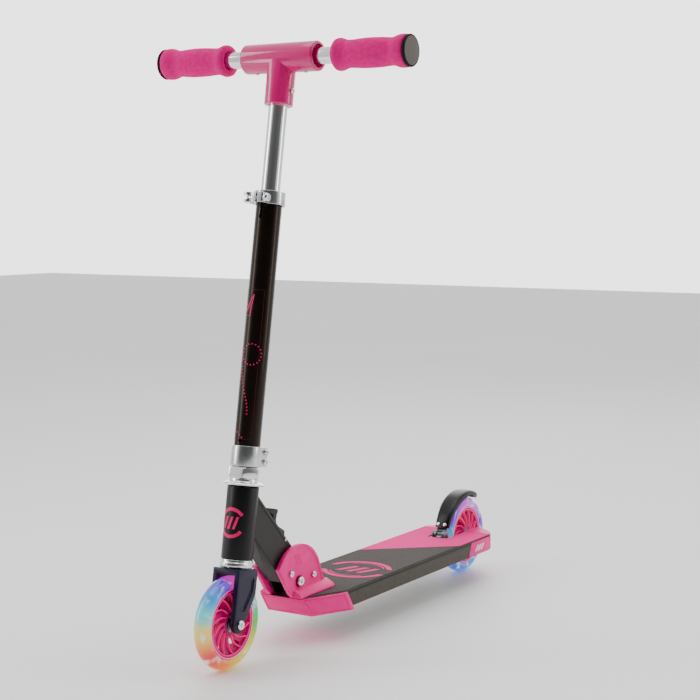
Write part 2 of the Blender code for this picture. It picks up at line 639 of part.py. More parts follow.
def make_brake_bracket(frame):
    """Bracket in the deck, with the pin and the return spring on it."""
    bracket = finish("brake_bracket", box((-13.4, -8.7, -8.5), (13.4, 4.5, -4.6)), "steel", frame)
    ear = [(-4.5, -6), (4.5, -6)] + arc((0, 0), 4.5, 0, 180, 8)
    weld(bracket, prism(ear, 9.4, 12.6), prism(ear, -12.6, -9.4))
    cut(bracket, rod(2.3, -20, 20, "X", steps=16))
    finish("brake_pin", rod(2.0, -13.2, 13.2, "X", steps=16), "steel", frame)
    turns, per_turn, coil_radius, half = 3, 10, 3.1, 3.4
    curve = bpy.data.curves.new("brake_spring", "CURVE")
    curve.dimensions = "3D"
    curve.bevel_depth = 0.5 * METRES
    curve.bevel_resolution = 0
    curve.use_fill_caps = True
    curve.materials.append(finish_material("steel"))
    count = turns * per_turn + 1
    spline = curve.splines.new("POLY")
    spline.points.add(count - 1)
    for i, point in enumerate(spline.points):
        angle = math.tau * i / per_turn
        x = -half + 2 * half * i / (count - 1)
        place = Vector((x, coil_radius * math.cos(angle), coil_radius * math.sin(angle))) * METRES
        point.co = (*place, 1)
    spring = bpy.data.objects.new("brake_spring", curve)
    bpy.context.scene.collection.objects.link(spring)
    spring.parent = frame


def rivet_place(x):
    """Turns a rivet's height into distance from the rear axle."""
    to_axle = Vector((x, WHEELBASE - BRAKE_PIN[0], WHEEL_RADIUS - BRAKE_PIN[1]))
    return Matrix.Translation(to_axle) @ Matrix.Rotation(RIVET_ANGLE - math.pi / 2, 4, "X")


def rivet_shape(profile, x, steps=12):
    bm = turned(profile, steps, solid=True)
    bmesh.ops.transform(bm, matrix=rivet_place(x), verts=bm.verts)
    return bm


def make_brake(frame):
    """Stamped arm on the pin, and the curved fender riveted to it."""
    hub = (WHEELBASE - BRAKE_PIN[0], WHEEL_RADIUS - BRAKE_PIN[1])
    face, back = FENDER_INSIDE - 0.45, FENDER_INSIDE - 2.4
    arm = finish("brake_arm", pipe(4.2, 2.3, -8.9, 8.9, "X", steps=20), "steel", frame)
    blade = [(-0.4, 3.2)] + arc(hub, face - 0.25, 162, 153, 3)
    blade += arc(hub, back + 0.25, 153, 162, 3) + [(3.3, 0.2)]
    weld(arm, prism(blade, -8.5, 8.5))
    weld(arm, prism(arc(hub, face, 160, 151, 3) + arc(hub, back, 151, 160, 3), -11, 11))
    cut(arm, rod(4.7, -5.0, 5.0, "X", steps=20))
    half = [(10.5, FENDER_OUTSIDE), (13.6, 69.6), (13.6, 64.5), (12.5, 64.5), (12.1, FENDER_INSIDE)]
    section = half + [(-x, r) for x, r in reversed(half)]
    shell = swept_about_x(section, FENDER_START, FENDER_END, 16)
    bmesh.ops.translate(shell, vec=(0, *hub), verts=shell.verts)
    fender = finish("brake_fender", shell, "black_plastic", frame)
    hole = [(0, 60), (1.9, 60), (1.9, 80), (0, 80)]
    for x in (-RIVET_OUT, RIVET_OUT):
        cut(arm, rivet_shape(hole, x))
        cut(fender, rivet_shape(hole, x))
    rivet = [(0, back - 1), (2.7, back - 1), (2.7, back - FIT), (1.6, back - FIT)]
    rivet += [(1.6, FENDER_OUTSIDE + FIT)]
    rivet += [(3.0, FENDER_OUTSIDE + FIT), (2.4, FENDER_OUTSIDE + 1.4), (0, FENDER_OUTSIDE + 1.7)]
    for x, word in ((RIVET_OUT, "left"), (-RIVET_OUT, "right")):
        finish(f"brake_rivet_{word}", rivet_shape(rivet, x), "polished_aluminium", frame)


def build():
    clear_scene()
    chassis = frame_at("chassis_frame", (0, -WHEELBASE / 2, 0))
    pivot = frame_at("pivot_frame", (0, *PIVOT), chassis)
    fold = frame_at("fold_frame", (0, *PIVOT), chassis)
    column = (0, AXIS_BEHIND_AXLE - PIVOT[0], WHEEL_RADIUS - PIVOT[1])
    head = frame_at("head_frame", column, fold, -RAKE)
    steering = frame_at("steering_frame", (0, 0, 0), head)
    handle = frame_at("handle_frame", (0, 0, 0), steering)
    bar = frame_at("bar_frame", (0, 0, BAR_HEIGHT), handle)
    axle = (-AXIS_BEHIND_AXLE * math.cos(RAKE), -AXIS_BEHIND_AXLE * math.sin(RAKE))

    make_deck(chassis)
    make_griptape(chassis)
    make_nose_bumper(chassis)
    for side in (1, -1):
        make_tail_dropout(side, chassis)
        make_cheek(side, pivot)
    make_hinge_bolts(pivot)
    make_axle("rear_axle", 22.0, (WHEELBASE, WHEEL_RADIUS), chassis)

    make_neck_beam(fold, head)
    make_head(head)
    finish("release_lever_pin", rod(2.2, -14.6, 14.6, "X", (0, *LEVER_PIN), 16), "steel", fold)
    make_release_lever(frame_at("release_lever_frame", (0, *LEVER_PIN), fold))

    make_fork(steering, axle)
    make_axle("front_axle", 20.5, axle, steering)
    make_stem(steering)
    make_lower_clamp(steering)
    make_upper_clamp(steering)
    make_clamp_lever(frame_at("clamp_lever_frame", (-16.5, *SKEWER), steering))

    make_inner_stem(handle)
    for side, word in ((1, "left"), (-1, "right")):
        make_handlebar_half(side, bar)
        make_push_button(side, frame_at(f"push_button_frame_{word}", (side * BUTTON_OUT, 0, 0), bar))

    make_wheel("front", frame_at("front_wheel_frame", (0, *axle), steering))
    make_wheel("rear", frame_at("rear_wheel_frame", (0, WHEELBASE, WHEEL_RADIUS), chassis))
    make_brake_bracket(frame_at("brake_bracket_frame", (0, *BRAKE_PIN), chassis))
    make_brake(frame_at("brake_frame", (0, *BRAKE_PIN), chassis))


build()
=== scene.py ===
"""Looks of the folding kick scooter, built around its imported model.

Shapes are made in millimetres in the frame of the part that they belong to
(the steering column, the folding pivot, an axle) and put() moves them into
the model's frame in metres.
"""

import json
import math

import bmesh
import bpy
from mathutils import Matrix, Vector, noise


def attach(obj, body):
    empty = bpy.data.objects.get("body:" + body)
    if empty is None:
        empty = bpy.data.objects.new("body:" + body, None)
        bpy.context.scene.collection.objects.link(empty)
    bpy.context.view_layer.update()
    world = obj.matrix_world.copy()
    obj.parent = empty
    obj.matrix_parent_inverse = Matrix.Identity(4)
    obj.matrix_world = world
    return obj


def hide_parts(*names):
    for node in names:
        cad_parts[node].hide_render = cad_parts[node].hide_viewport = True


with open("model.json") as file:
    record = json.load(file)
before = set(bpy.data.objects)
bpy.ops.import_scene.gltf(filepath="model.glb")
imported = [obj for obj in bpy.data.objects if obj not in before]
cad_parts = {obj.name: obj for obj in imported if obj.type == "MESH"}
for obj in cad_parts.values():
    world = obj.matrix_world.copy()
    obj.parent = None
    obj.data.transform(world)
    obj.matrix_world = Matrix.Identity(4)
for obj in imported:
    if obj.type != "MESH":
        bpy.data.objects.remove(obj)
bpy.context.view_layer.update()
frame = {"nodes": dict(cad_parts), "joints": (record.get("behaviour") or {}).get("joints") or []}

MM = 0.001

# Frames of the moving parts, from the joints
JOINTS = {joint["name"]: joint for joint in frame["joints"]}


def joint_place(name):
    return Matrix.Translation(Vector(JOINTS[name]["pos_m"]))


STEER_AXIS = Vector(JOINTS["steer"]["axis"])
RAKE = math.atan2(STEER_AXIS.y, STEER_AXIS.z)
TILT = Matrix.Rotation(-RAKE, 4, "X")
COLUMN = joint_place("steer") @ TILT
PIVOT = joint_place("fold")
FRONT_AXLE = joint_place("front_wheel_spin")
REAR_AXLE = joint_place("rear_wheel_spin")
BRAKE_PIN = joint_place("brake_press")
LEVER_PIN = joint_place("fold_release")
CLAMP_PIN = joint_place("clamp_open") @ TILT
CHASSIS = Matrix.Translation((0, FRONT_AXLE.translation.y, 0))
BAR_HEIGHT = 729.0
BAR = COLUMN @ Matrix.Translation((0, 0, BAR_HEIGHT * MM))

# Sizes that several pieces share, in millimetres
SIDES = ((1, "left"), (-1, "right"))
PIVOT_HEIGHT = 88.7
TAPE_LOW, TAPE_TOP = 68.3, 69.1
BOLT_HOLE = 4.3
FRONT_CROSS_BOLT = (-19.0, 13.3)
RELEASE_PIN = (-21.5, 59.3)
HEAD_RADIUS = 20.5
STEM_RADIUS, STEM_BORE = 17.05, 14.65
SKEWER = (-24.0, 542.0)
TEE_RADIUS, TEE_LEG, TEE_BORE = 19.6, 19.0, 15.4
TEE_SCREW_HEIGHT = 684.8
BUTTON_OUT = 38
WINDOWS, VANES = 7, 14


# Shapes


def rounded(points, cut_back, steps=3, closed=True):
    """The outline with each real corner turned on a curve."""
    result, count = [], len(points)
    for i, point in enumerate(points):
        if not closed and i in (0, count - 1):
            result.append(point)
            continue
        here = Vector(point)
        back, ahead = Vector(points[i - 1]) - here, Vector(points[(i + 1) % count]) - here
        if min(back.length, ahead.length) < 1e-6 or (-back).angle(ahead) < 0.3:
            result.append(point)
            continue
        reach = min(cut_back, back.length / 2.2, ahead.length / 2.2)
        start, end = here + back.normalized() * reach, here + ahead.normalized() * reach
        for k in range(steps + 1):
            t = k / steps
            result.append(tuple(start * (1 - t) ** 2 + here * 2 * t * (1 - t) + end * t * t))
    return result


def arc(centre, radius, start, end, steps):
    """Points on an arc; the angles are in degrees."""
    angles = [math.radians(start + (end - start) * i / steps) for i in range(steps + 1)]
    return [(centre[0] + radius * math.cos(a), centre[1] + radius * math.sin(a)) for a in angles]


TURNED_TO = {
    "X": Matrix.Rotation(math.pi / 2, 4, "Y"),
    "Y": Matrix.Rotation(-math.pi / 2, 4, "X"),
    "Z": Matrix(),
}


def lathe(profile, steps=72, axis="Z", centre=(0, 0, 0), solid=False, corner=0.5):
    """A profile of (radius, height) points spun about an axis, its corners rounded."""
    points = rounded(profile, corner, closed=not solid) if corner else profile
    bm = bmesh.new()
    verts = [bm.verts.new((r, 0, h)) for r, h in points]
    edges = [bm.edges.new(pair) for pair in zip(verts, verts[1:])]
    if not solid:
        edges.append(bm.edges.new((verts[-1], verts[0])))
    bmesh.ops.spin(
        bm, geom=verts + edges, cent=(0, 0, 0), axis=(0, 0, 1), angle=math.tau, steps=steps, use_merge=True
    )
    bmesh.ops.remove_doubles(bm, verts=bm.verts, dist=0.001)
    bmesh.ops.transform(bm, matrix=Matrix.Translation(centre) @ TURNED_TO[axis], verts=bm.verts)
    return bm


def pipe(outer, inner, low, high, axis="Z", centre=(0, 0, 0), steps=72, corner=0.5):
    return lathe(
        [(inner, low), (outer, low), (outer, high), (inner, high)], steps, axis, centre, corner=corner
    )


def rod(radius, low, high, axis="Z", centre=(0, 0, 0), steps=48, corner=0.4):
    profile = [(0, low), (radius, low), (radius, high), (0, high)]
    return lathe(profile, steps, axis, centre, solid=True, corner=corner)


def prism(outline, low, high, axis="X"):
    """A flat outline pushed along an axis; it holds the other two coordinates in order."""
    place = {"X": lambda a, b: (low, a, b), "Y": lambda a, b: (a, low, b), "Z": lambda a, b: (a, b, low)}
    along = {"X": Vector((1, 0, 0)), "Y": Vector((0, 1, 0)), "Z": Vector((0, 0, 1))}
    bm = bmesh.new()
    face = bm.faces.new([bm.verts.new(place[axis](a, b)) for a, b in outline])
    pushed = bmesh.ops.extrude_face_region(bm, geom=[face])["geom"]
    moved = [v for v in pushed if isinstance(v, bmesh.types.BMVert)]
    bmesh.ops.translate(bm, vec=along[axis] * (high - low), verts=moved)
    bmesh.ops.recalc_face_normals(bm, faces=bm.faces)
    return bm


def box(low, high):
    size = Vector(high) - Vector(low)
    bm = bmesh.new()
    bmesh.ops.create_cube(bm, size=1)
    bmesh.ops.scale(bm, vec=size, verts=bm.verts)
    bmesh.ops.translate(bm, vec=Vector(low) + size / 2, verts=bm.verts)
    return bm


def loft(bottom, bottom_z, top, top_z):
    """A solid between two plan outlines with the same number of points."""
    bm = bmesh.new()
    loops = []
    for outline, z in ((bottom, bottom_z), (top, top_z)):
        face = bm.faces.new([bm.verts.new((x, y, z)) for x, y in outline])
        loops += list(face.edges)
    bmesh.ops.bridge_loops(bm, edges=loops)
    bmesh.ops.recalc_face_normals(bm, faces=bm.faces)
    return bm


def soften(bm, width, segments=2, angle=25.0):
    """Rounds every edge sharper than the angle."""
    bm.normal_update()
    sharp = [e for e in bm.edges if len(e.link_faces) == 2 and e.calc_face_angle() > math.radians(angle)]
    bmesh.ops.bevel(
        bm, geom=sharp, offset=width, affect="EDGES", segments=segments, profile=0.5, material=-1,
        clamp_overlap=True
    )
    return bm


def joined(first, *others):
    """Several shapes as one bmesh, not welded."""
    for other in others:
        mesh = bpy.data.meshes.new("joined")
        other.to_mesh(mesh)
        other.free()
        first.from_mesh(mesh)
        bpy.data.meshes.remove(mesh)
    return first


def carve(bm, *tools, operation="DIFFERENCE"):
    """What is left of a shape after a Boolean with each tool."""
    helpers = []
    for shape in (bm, *tools):
        bmesh.ops.recalc_face_normals(shape, faces=shape.faces)
        mesh = bpy.data.meshes.new("carve")
        shape.to_mesh(mesh)
        shape.free()
        helper = bpy.data.objects.new("carve", mesh)
        bpy.context.scene.collection.objects.link(helper)
        helpers.append(helper)
    for tool in helpers[1:]:
        modifier = helpers[0].modifiers.new("carve", "BOOLEAN")
        modifier.operation = operation
        modifier.solver = "EXACT"
        modifier.object = tool
    bpy.context.view_layer.update()
    evaluated = helpers[0].evaluated_get(bpy.context.evaluated_depsgraph_get())
    result = bmesh.new()
    result.from_mesh(evaluated.to_mesh())
    evaluated.to_mesh_clear()
    for helper in helpers:
        mesh = helper.data
        bpy.data.objects.remove(helper, do_unlink=True)
        bpy.data.meshes.remove(mesh)
    bmesh.ops.remove_doubles(result, verts=result.verts, dist=0.002)
    bmesh.ops.dissolve_limit(result, angle_limit=math.radians(0.5), verts=result.verts, edges=result.edges)
    return result


def mirrored(bm, side):
    """A shape made for the rider's left, turned into its twin on the right."""
    if side < 0:
        bmesh.ops.scale(bm, vec=(-1, 1, 1), verts=bm.verts)
        bmesh.ops.recalc_face_normals(bm, faces=bm.faces)
    return bm


def framed(bm, faces, rim, width, depth):
    """Draws a groove round each flat face, a rim's width from its edge."""
    bmesh.ops.inset_individual(bm, faces=faces, thickness=rim, depth=0)
    bmesh.ops.inset_individual(bm, faces=faces, thickness=width / 2, depth=-depth)
    bmesh.ops.inset_individual(bm, faces=faces, thickness=width / 2, depth=depth)
    return bm


def shrunk(outline, margin):
    """A closed outline with every side moved inward."""
    points = [Vector(p) for p in outline]
    turn = sum(a.cross(b) for a, b in zip(points, points[1:] + points[:1]))
    result = []
    for before, here, after in zip(points[-1:] + points[:-1], points, points[1:] + points[:1]):
        one, other = (here - before).normalized(), (after - here).normalized()
        inward = Vector((-one.y - other.y, one.x + other.x)) * math.copysign(1.0, turn)
        result.append(tuple(here + inward * margin / (1 + one.dot(other))))
    return result


def largest_faces(bm, direction, count=1):
    """The biggest faces that look along a direction."""
    bm.normal_update()
    facing = [f for f in bm.faces if f.normal.dot(Vector(direction)) > 0.8]
    return sorted(facing, key=lambda f: -f.calc_area())[:count]


def ribbon(one, other, thickness=0.15):
    """A thin slab between two chains of (u, v) points."""
    bm = bmesh.new()
    edges = []
    for chain in (one, other):
        verts = [bm.verts.new((u, v, 0)) for u, v in chain]
        edges += [bm.edges.new(pair) for pair in zip(verts, verts[1:])]
    faces = bmesh.ops.bridge_loops(bm, edges=edges)["faces"]
    pushed = bmesh.ops.extrude_face_region(bm, geom=faces)["geom"]
    moved = [v for v in pushed if isinstance(v, bmesh.types.BMVert)]
    bmesh.ops.translate(bm, vec=(0, 0, thickness), verts=moved)
    bmesh.ops.recalc_face_normals(bm, faces=bm.faces)
    return bm


def stroke(chain, width, thickness=0.15):
    """A slab of even width to the right of a chain of (u, v) points."""
    return ribbon(chain, [(u + width, v) for u, v in chain], thickness)


def stood(bm, x):
    """Stands a flat decal in the plane at x: u runs along Y and v up Z."""
    place = Matrix(((0, 0, 1, x), (1, 0, 0, 0), (0, 1, 0, 0), (0, 0, 0, 1)))
    bmesh.ops.transform(bm, matrix=place, verts=bm.verts)
    return bm


def spot(u, v, radius, thickness=0.15):
    bm = bmesh.new()
    place = Matrix.Translation((u, v, thickness / 2))
    bmesh.ops.create_cone(
        bm, cap_ends=True, segments=12, radius1=radius, radius2=radius, depth=thickness, matrix=place
    )
    return bm


def wrapped(bm, radius, facing=-90.0):
    """Lays a flat decal on a tube: u goes round it and v along it."""
    for vert in bm.verts:
        angle = math.radians(facing) + vert.co.x / radius
        reach = radius + vert.co.z
        vert.co = (reach * math.cos(angle), reach * math.sin(angle), vert.co.y)
    bmesh.ops.recalc_face_normals(bm, faces=bm.faces)
    return bm


# Materials


def linear(code):
    """An sRGB hex value as linear RGBA."""
    rgb = [int(code[i : i + 2], 16) / 255 for i in (0, 2, 4)]
    return (*[c / 12.92 if c <= 0.04045 else ((c + 0.055) / 1.055) ** 2.4 for c in rgb], 1.0)


def add(tree, kind, inputs=None, **settings):
    """Adds one node with its settings; an input is a value or another node's output."""
    made = tree.nodes.new(kind)
    for key, value in settings.items():
        setattr(made, key, value)
    for socket, value in (inputs or {}).items():
        if isinstance(value, bpy.types.NodeSocket):
            tree.links.new(value, made.inputs[socket])
        else:
            made.inputs[socket].default_value = value
    return made


def surface(
    name, colour, roughness, metallic=0.0, other=None, patch_mm=8.0, grain_mm=1.0, bump=0.0, **sockets
):
    """A material with a mottled colour, uneven gloss and a fine relief.

    colour and other are the two tones, patch_mm the size of the mottling and
    grain_mm the size of the relief, which stands bump millimetres high.
    """
    material = bpy.data.materials.new(name)
    material.use_nodes = True
    tree = material.node_tree
    shader = tree.nodes["Principled BSDF"]
    place = add(tree, "ShaderNodeTexCoord").outputs["Object"]
    patches = add(tree, "ShaderNodeTexNoise", {"Vector": place, "Scale": 1 / (patch_mm * MM), "Detail": 3.0})
    tones = add(tree, "ShaderNodeValToRGB", {"Fac": patches.outputs["Fac"]})
    tones.color_ramp.elements[0].position = 0.35
    tones.color_ramp.elements[0].color = linear(colour)
    tones.color_ramp.elements[1].position = 0.65
    tones.color_ramp.elements[1].color = linear(other or colour)
    tree.links.new(tones.outputs["Color"], shader.inputs["Base Color"])
    gloss = add(
        tree,
        "ShaderNodeMapRange",
        {"Value": patches.outputs["Fac"], "To Min": roughness * 0.85, "To Max": min(1.0, roughness * 1.2)},
    )
    tree.links.new(gloss.outputs["Result"], shader.inputs["Roughness"])
    if bump:
        grain = add(
            tree, "ShaderNodeTexNoise", {"Vector": place, "Scale": 1 / (grain_mm * MM), "Detail": 4.0}
        )
        relief = add(
            tree, "ShaderNodeBump", {"Height": grain.outputs["Fac"], "Distance": bump * MM, "Strength": 1.0}
        )
        tree.links.new(relief.outputs["Normal"], shader.inputs["Normal"])
    shader.inputs["Metallic"].default_value = metallic
    for socket, value in sockets.items():
        shader.inputs[socket.replace("_", " ")].default_value = value
    return material


# Enamel sprayed thick on the cast tee: deep wet gloss with a faint orange peel.
PINK_ENAMEL = surface(
    "pink_enamel", "DC0078", 0.16, other="D40070", patch_mm=30, grain_mm=3, bump=0.02, Coat_Weight=0.7,
    Coat_Roughness=0.03, Specular_IOR_Level=0.3,
)
# Satin paint on the die-cast hinge and tail: soft highlights, slight texture.
PINK_PAINT = surface(
    "pink_satin_paint", "FF0C90", 0.42, other="F80488", patch_mm=12, grain_mm=0.9, bump=0.03,
    Specular_IOR_Level=0.22
)
# Moulded nylon of the nose bumper: a little brighter and more even.
PINK_NYLON = surface(
    "pink_moulded_nylon", "FF1292", 0.45, other="FA088A", patch_mm=10, grain_mm=0.7, bump=0.02,
    Specular_IOR_Level=0.2
)
# Glossier nylon of the wheel cores, brighter on the ribs than on the web: the ribs get a brighter copy with a
# painted glow that stands in for the diodes' light falling on them.
CORE_NYLON = surface("pink_core_nylon", "CC0074", 0.3, other="C0006A", patch_mm=9, Specular_IOR_Level=0.25)
RIB_NYLON_PAINTED_GLOW = surface(
    "pink_core_ribs_painted_glow", "FF2496", 0.3, other="FF1890", patch_mm=9, Specular_IOR_Level=0.3,
    Emission_Color=linear("FF1890"), Emission_Strength=0.15,
)
# Closed-cell NBR foam: matt, with pores of about half a millimetre.
FOAM = surface(
    "nbr_foam", "EA0084", 0.95, other="DC007A", patch_mm=5, grain_mm=0.6, bump=0.35, Specular_IOR_Level=0.15,
    Sheen_Weight=0.15, Sheen_Tint=linear("FF7CB4"),
)
# Gloss powder coat on the stem: near black, brown in the highlights.
STEM_COAT = surface(
    "gloss_black_coat", "0D0907", 0.2, other="120D0A", patch_mm=25, grain_mm=1.6, bump=0.012,
    Specular_IOR_Level=0.3,
    Specular_Tint=linear("E8C8B4"),
)
# Satin powder coat on the head tube, neck and fork.
BLACK_COAT = surface(
    "satin_black_coat", "0C0B0C", 0.34, other="111011", patch_mm=14, grain_mm=0.8, bump=0.02,
    Specular_IOR_Level=0.28
)
# The same coat on the fork, with the violet light that the wheel's diodes cast on it painted into its colour.
GLOW_TINTED_FORK_COAT = surface(
    "black_coat_painted_violet_light", "14102C", 0.34, other="181534", patch_mm=14, grain_mm=0.8, bump=0.02,
    Specular_IOR_Level=0.3
)
# A duller charcoal coat on the neck's casting.
NECK_COAT = surface(
    "charcoal_satin_coat", "171412", 0.42, other="1D1A17", patch_mm=14, grain_mm=0.8, bump=0.03,
    Specular_IOR_Level=0.3
)
# Coarse charcoal coat on the deck extrusion, gritty to the touch.
DECK_COAT = surface(
    "gritty_deck_coat", "46423C", 0.6, other="5A554D", patch_mm=1.6, grain_mm=0.8, bump=0.1,
    Specular_IOR_Level=0.2
)
# Smooth black line along the deck's upper edge.
DECK_EDGE = surface("black_edge_coat", "0B0A0A", 0.35, other="0E0D0D", patch_mm=9, Specular_IOR_Level=0.2)
# Silicon carbide grit on film: drawn at 1 mm, coarser than real, so that it shows.
GRIT_DARK = surface(
    "charcoal_griptape", "34312F", 0.9, other="625C58", patch_mm=1.1, grain_mm=1.0, bump=0.25,
    Specular_IOR_Level=0.15
)
GRIT_PINK = surface(
    "pink_griptape", "F00A80", 0.88, other="FF3C9C", patch_mm=1.1, grain_mm=1.0, bump=0.2,
    Specular_IOR_Level=0.15
)
# Screen-printed ink: flat colour over the coat.
INK = surface("screen_print_pink", "F0046E", 0.5, other="E20066", patch_mm=3, Specular_IOR_Level=0.2)
INK_DIM = surface("screen_print_maroon", "4A0A20", 0.45, other="400818", patch_mm=3, Specular_IOR_Level=0.2)
WHITE_INK = surface("screen_print_white", "F6EEF2", 0.5, other="EFE4EA", patch_mm=3)
# Chrome plate: nearly a mirror.
CHROME = surface("chrome_plate", "EDEEEF", 0.06, metallic=1.0, other="E6E7E8", patch_mm=20)
# Polished then clear-coated aluminium of the clamps: a softer mirror with a fine grain.
BRIGHT_ALLOY = surface(
    "polished_alloy", "D2D3D4", 0.2, metallic=1.0, other="C6C7C9", patch_mm=6, grain_mm=0.6, bump=0.01
)
# Zinc plate on pins, buttons and bearings: pale and slightly dull.
ZINC = surface(
    "zinc_plated_steel", "B5B6B8", 0.33, metallic=1.0, other="A4A6A9", patch_mm=3, grain_mm=0.8, bump=0.02
)
# Bare stamped sheet of the brake's arm and bracket.
STAMPED = surface(
    "stamped_steel", "8E8F92", 0.42, metallic=1.0, other="77797C", patch_mm=2.5, grain_mm=0.7, bump=0.03
)
# Moulded black plastic: the fender, lever and hinge block.
BLACK_PLASTIC = surface(
    "black_moulded_plastic", "0C0B0E", 0.3, other="110F12", patch_mm=8, grain_mm=0.9, bump=0.015,
    Specular_IOR_Level=0.3
)
# Worn-looking grey disc on each end plug.
PLUG_FACE = surface(
    "grey_plug_face", "4A443E", 0.42, metallic=0.3, other="564F48", patch_mm=2.2, grain_mm=0.8, bump=0.03
)
# Soft black of the end plugs and the pivot's washer.
DARK_RUBBER = surface("dark_rubber", "120E10", 0.7, other="171315", patch_mm=3, Specular_IOR_Level=0.2)
# The moulded ring that spreads the diodes' light, tinted by the pink core.
RING_GLOW = surface(
    "diffuser_ring", "FFA8D8", 0.3, other="FF94CC", patch_mm=7, Emission_Color=linear("FF50B0"),
    Emission_Strength=0.35
)


def glowing_urethane(name, axle, tones, strength):
    """Clear cast urethane lit from inside by a ring of coloured diodes.

    tones are (turn, colour) stops round the wheel. Turn 0 points forward, and
    they run under the wheel to the rear; cloudy patches of it glow whiter.
    """
    material = bpy.data.materials.new(name)
    material.use_nodes = True
    tree = material.node_tree
    shader = tree.nodes["Principled BSDF"]
    place = add(tree, "ShaderNodeTexCoord").outputs["Object"]
    to_plane = Matrix(((0, 0, 1), (1, 0, 0), (0, 1, 0))).to_euler()
    centred = add(
        tree, "ShaderNodeMapping", {"Vector": place, "Location": axle, "Rotation": to_plane},
        vector_type="TEXTURE"
    )
    around = add(tree, "ShaderNodeTexGradient", {"Vector": centred.outputs["Vector"]}, gradient_type="RADIAL")
    ramp = add(tree, "ShaderNodeValToRGB", {"Fac": around.outputs["Fac"]})
    ramp.color_ramp.interpolation = "EASE"
    stops = ramp.color_ramp.elements
    stops[0].position, stops[0].color = tones[0][0], linear(tones[0][1])
    stops[1].position, stops[1].color = tones[-1][0], linear(tones[-1][1])
    for turn, colour in tones[1:-1]:
        stops.new(turn).color = linear(colour)
    cloud = add(tree, "ShaderNodeTexNoise", {"Vector": place, "Scale": 1 / (14 * MM), "Detail": 2.0})
    spread = add(
        tree, "ShaderNodeMapRange", {"Value": cloud.outputs["Fac"], "From Min": 0.56, "From Max": 0.78}
    )
    halves = {0: spread.outputs["Result"], 6: ramp.outputs["Color"], 7: (1.0, 1.0, 1.0, 1.0)}
    mixed = add(tree, "ShaderNodeMix", halves, data_type="RGBA")
    tree.links.new(mixed.outputs[2], shader.inputs["Emission Color"])
    shader.inputs["Base Color"].default_value = linear("2A242C")
    shader.inputs["Emission Strength"].default_value = strength
    shader.inputs["Roughness"].default_value = 0.1
    shader.inputs["Coat Weight"].default_value = 0.5
    return material


# Pieces


def put(name, bm, material, body, place, *nodes, slot=None, sharp=38.0):
    """Makes a shape in millimetres a finished piece that rides on a body."""
    bmesh.ops.remove_doubles(bm, verts=bm.verts, dist=0.0005)
    bmesh.ops.recalc_face_normals(bm, faces=bm.faces)
    bmesh.ops.transform(bm, matrix=place @ Matrix.Scale(MM, 4), verts=bm.verts)
    mesh = bpy.data.meshes.new(name)
    bm.to_mesh(mesh)
    bm.free()
    mesh.materials.append(material)
    mesh.shade_smooth()
    mesh.set_sharp_from_angle(angle=math.radians(sharp))
    piece = bpy.data.objects.new(name, mesh)
    bpy.context.scene.collection.objects.link(piece)
    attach(piece, body)
    if nodes:
        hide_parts(*nodes)
    return piece


def dress(material, *nodes):
    """Gives carried-over nodes their finish."""
    for node in nodes:
        mesh = frame["nodes"][node].data
        mesh.materials.clear()
        mesh.materials.append(material)


# Deck


def nose_plan(z, grow, rear):
    """The deck's plan outline at one height: its nose narrows and slopes back."""
    rise = z - 40.0
    front = 145.2 - 0.79 * rise - grow
    front_half = 33.2 - 0.084 * rise + grow
    shoulder = 203.0 - 0.5625 * rise - grow
    right = [(front_half, front), (60.0 + grow, shoulder), (60.0 + grow, rear)]
    return right + [(-x, y) for x, y in reversed(right)]


def make_deck():
    half, low, high = 60.0, 44.2, 68.0
    section = rounded([(-half, low), (half, low), (half, high), (-half, high)], 2.0, 4)
    deck = prism(section, 110, 616, "Y")
    cells = [
        box((a, 100, low + 2.5), (b, 630, high - 2.5)) for a, b in ((-57.5, -19), (-15.6, 15.6), (19, 57.5))
    ]
    envelope = loft(nose_plan(40, 0, 640), 40, nose_plan(72, 0, 640), 72)
    deck = carve(
        deck, *cells, box((-16.2, 568, 30), (16.2, 640, 90)), box((-13.8, 552.9, 60), (13.8, 570, 90))
    )
    deck = carve(deck, envelope, operation="INTERSECT")
    put("deck_extrusion", deck, DECK_COAT, "deck", CHASSIS, "deck", slot="gritty_black_coat")
    for side, word in SIDES:
        section = rounded([(60.0, 63.6), (60.35, 63.6), (60.35, 67.6), (60.0, 67.6)], 0.1, 2)
        stripe = mirrored(prism(section, 191.5, 615.9, "Y"), side)
        put(f"deck_edge_line_{word}", stripe, DECK_EDGE, "deck", CHASSIS, slot="gritty_black_coat")
        patch = [(546.5, 45.8), (616, 45.8), (616, 66.4), (554.5, 66.4)]
        sticker = mirrored(soften(prism(patch, 60.0, 60.4), 0.15), side)
        put(f"side_patch_{word}", sticker, PINK_PAINT, "deck", CHASSIS, slot="pink_paint")
        marks = [stroke([(566 + 9 * k + 2 * j, 51 + 2.2 * j) for j in range(5)], 5) for k in range(3)]
        flash = stood(joined(*marks), 60.4)
        put(f"side_flash_{word}", mirrored(flash, side), WHITE_INK, "deck", CHASSIS, slot="pink_paint")


def tape_outline(rear_part):
    """The charcoal sheet in front of a slanted cut, or the pink one behind it."""
    near, far = 517.0, 412.0
    if rear_part:
        gap = 0.4
        return [
            (-58.6, far + gap), (58.6, near + gap), (58.6, 615), (16.8, 615), (16.8, 551),
            (-16.8, 551), (-16.8, 615), (-58.6, 615),
        ]
    return [
        (34.9, 207), (34.9, 138), (58.6, 190), (58.6, near), (-58.6, far), (-58.6, 190), (-34.9, 138),
        (-34.9, 207),
    ]


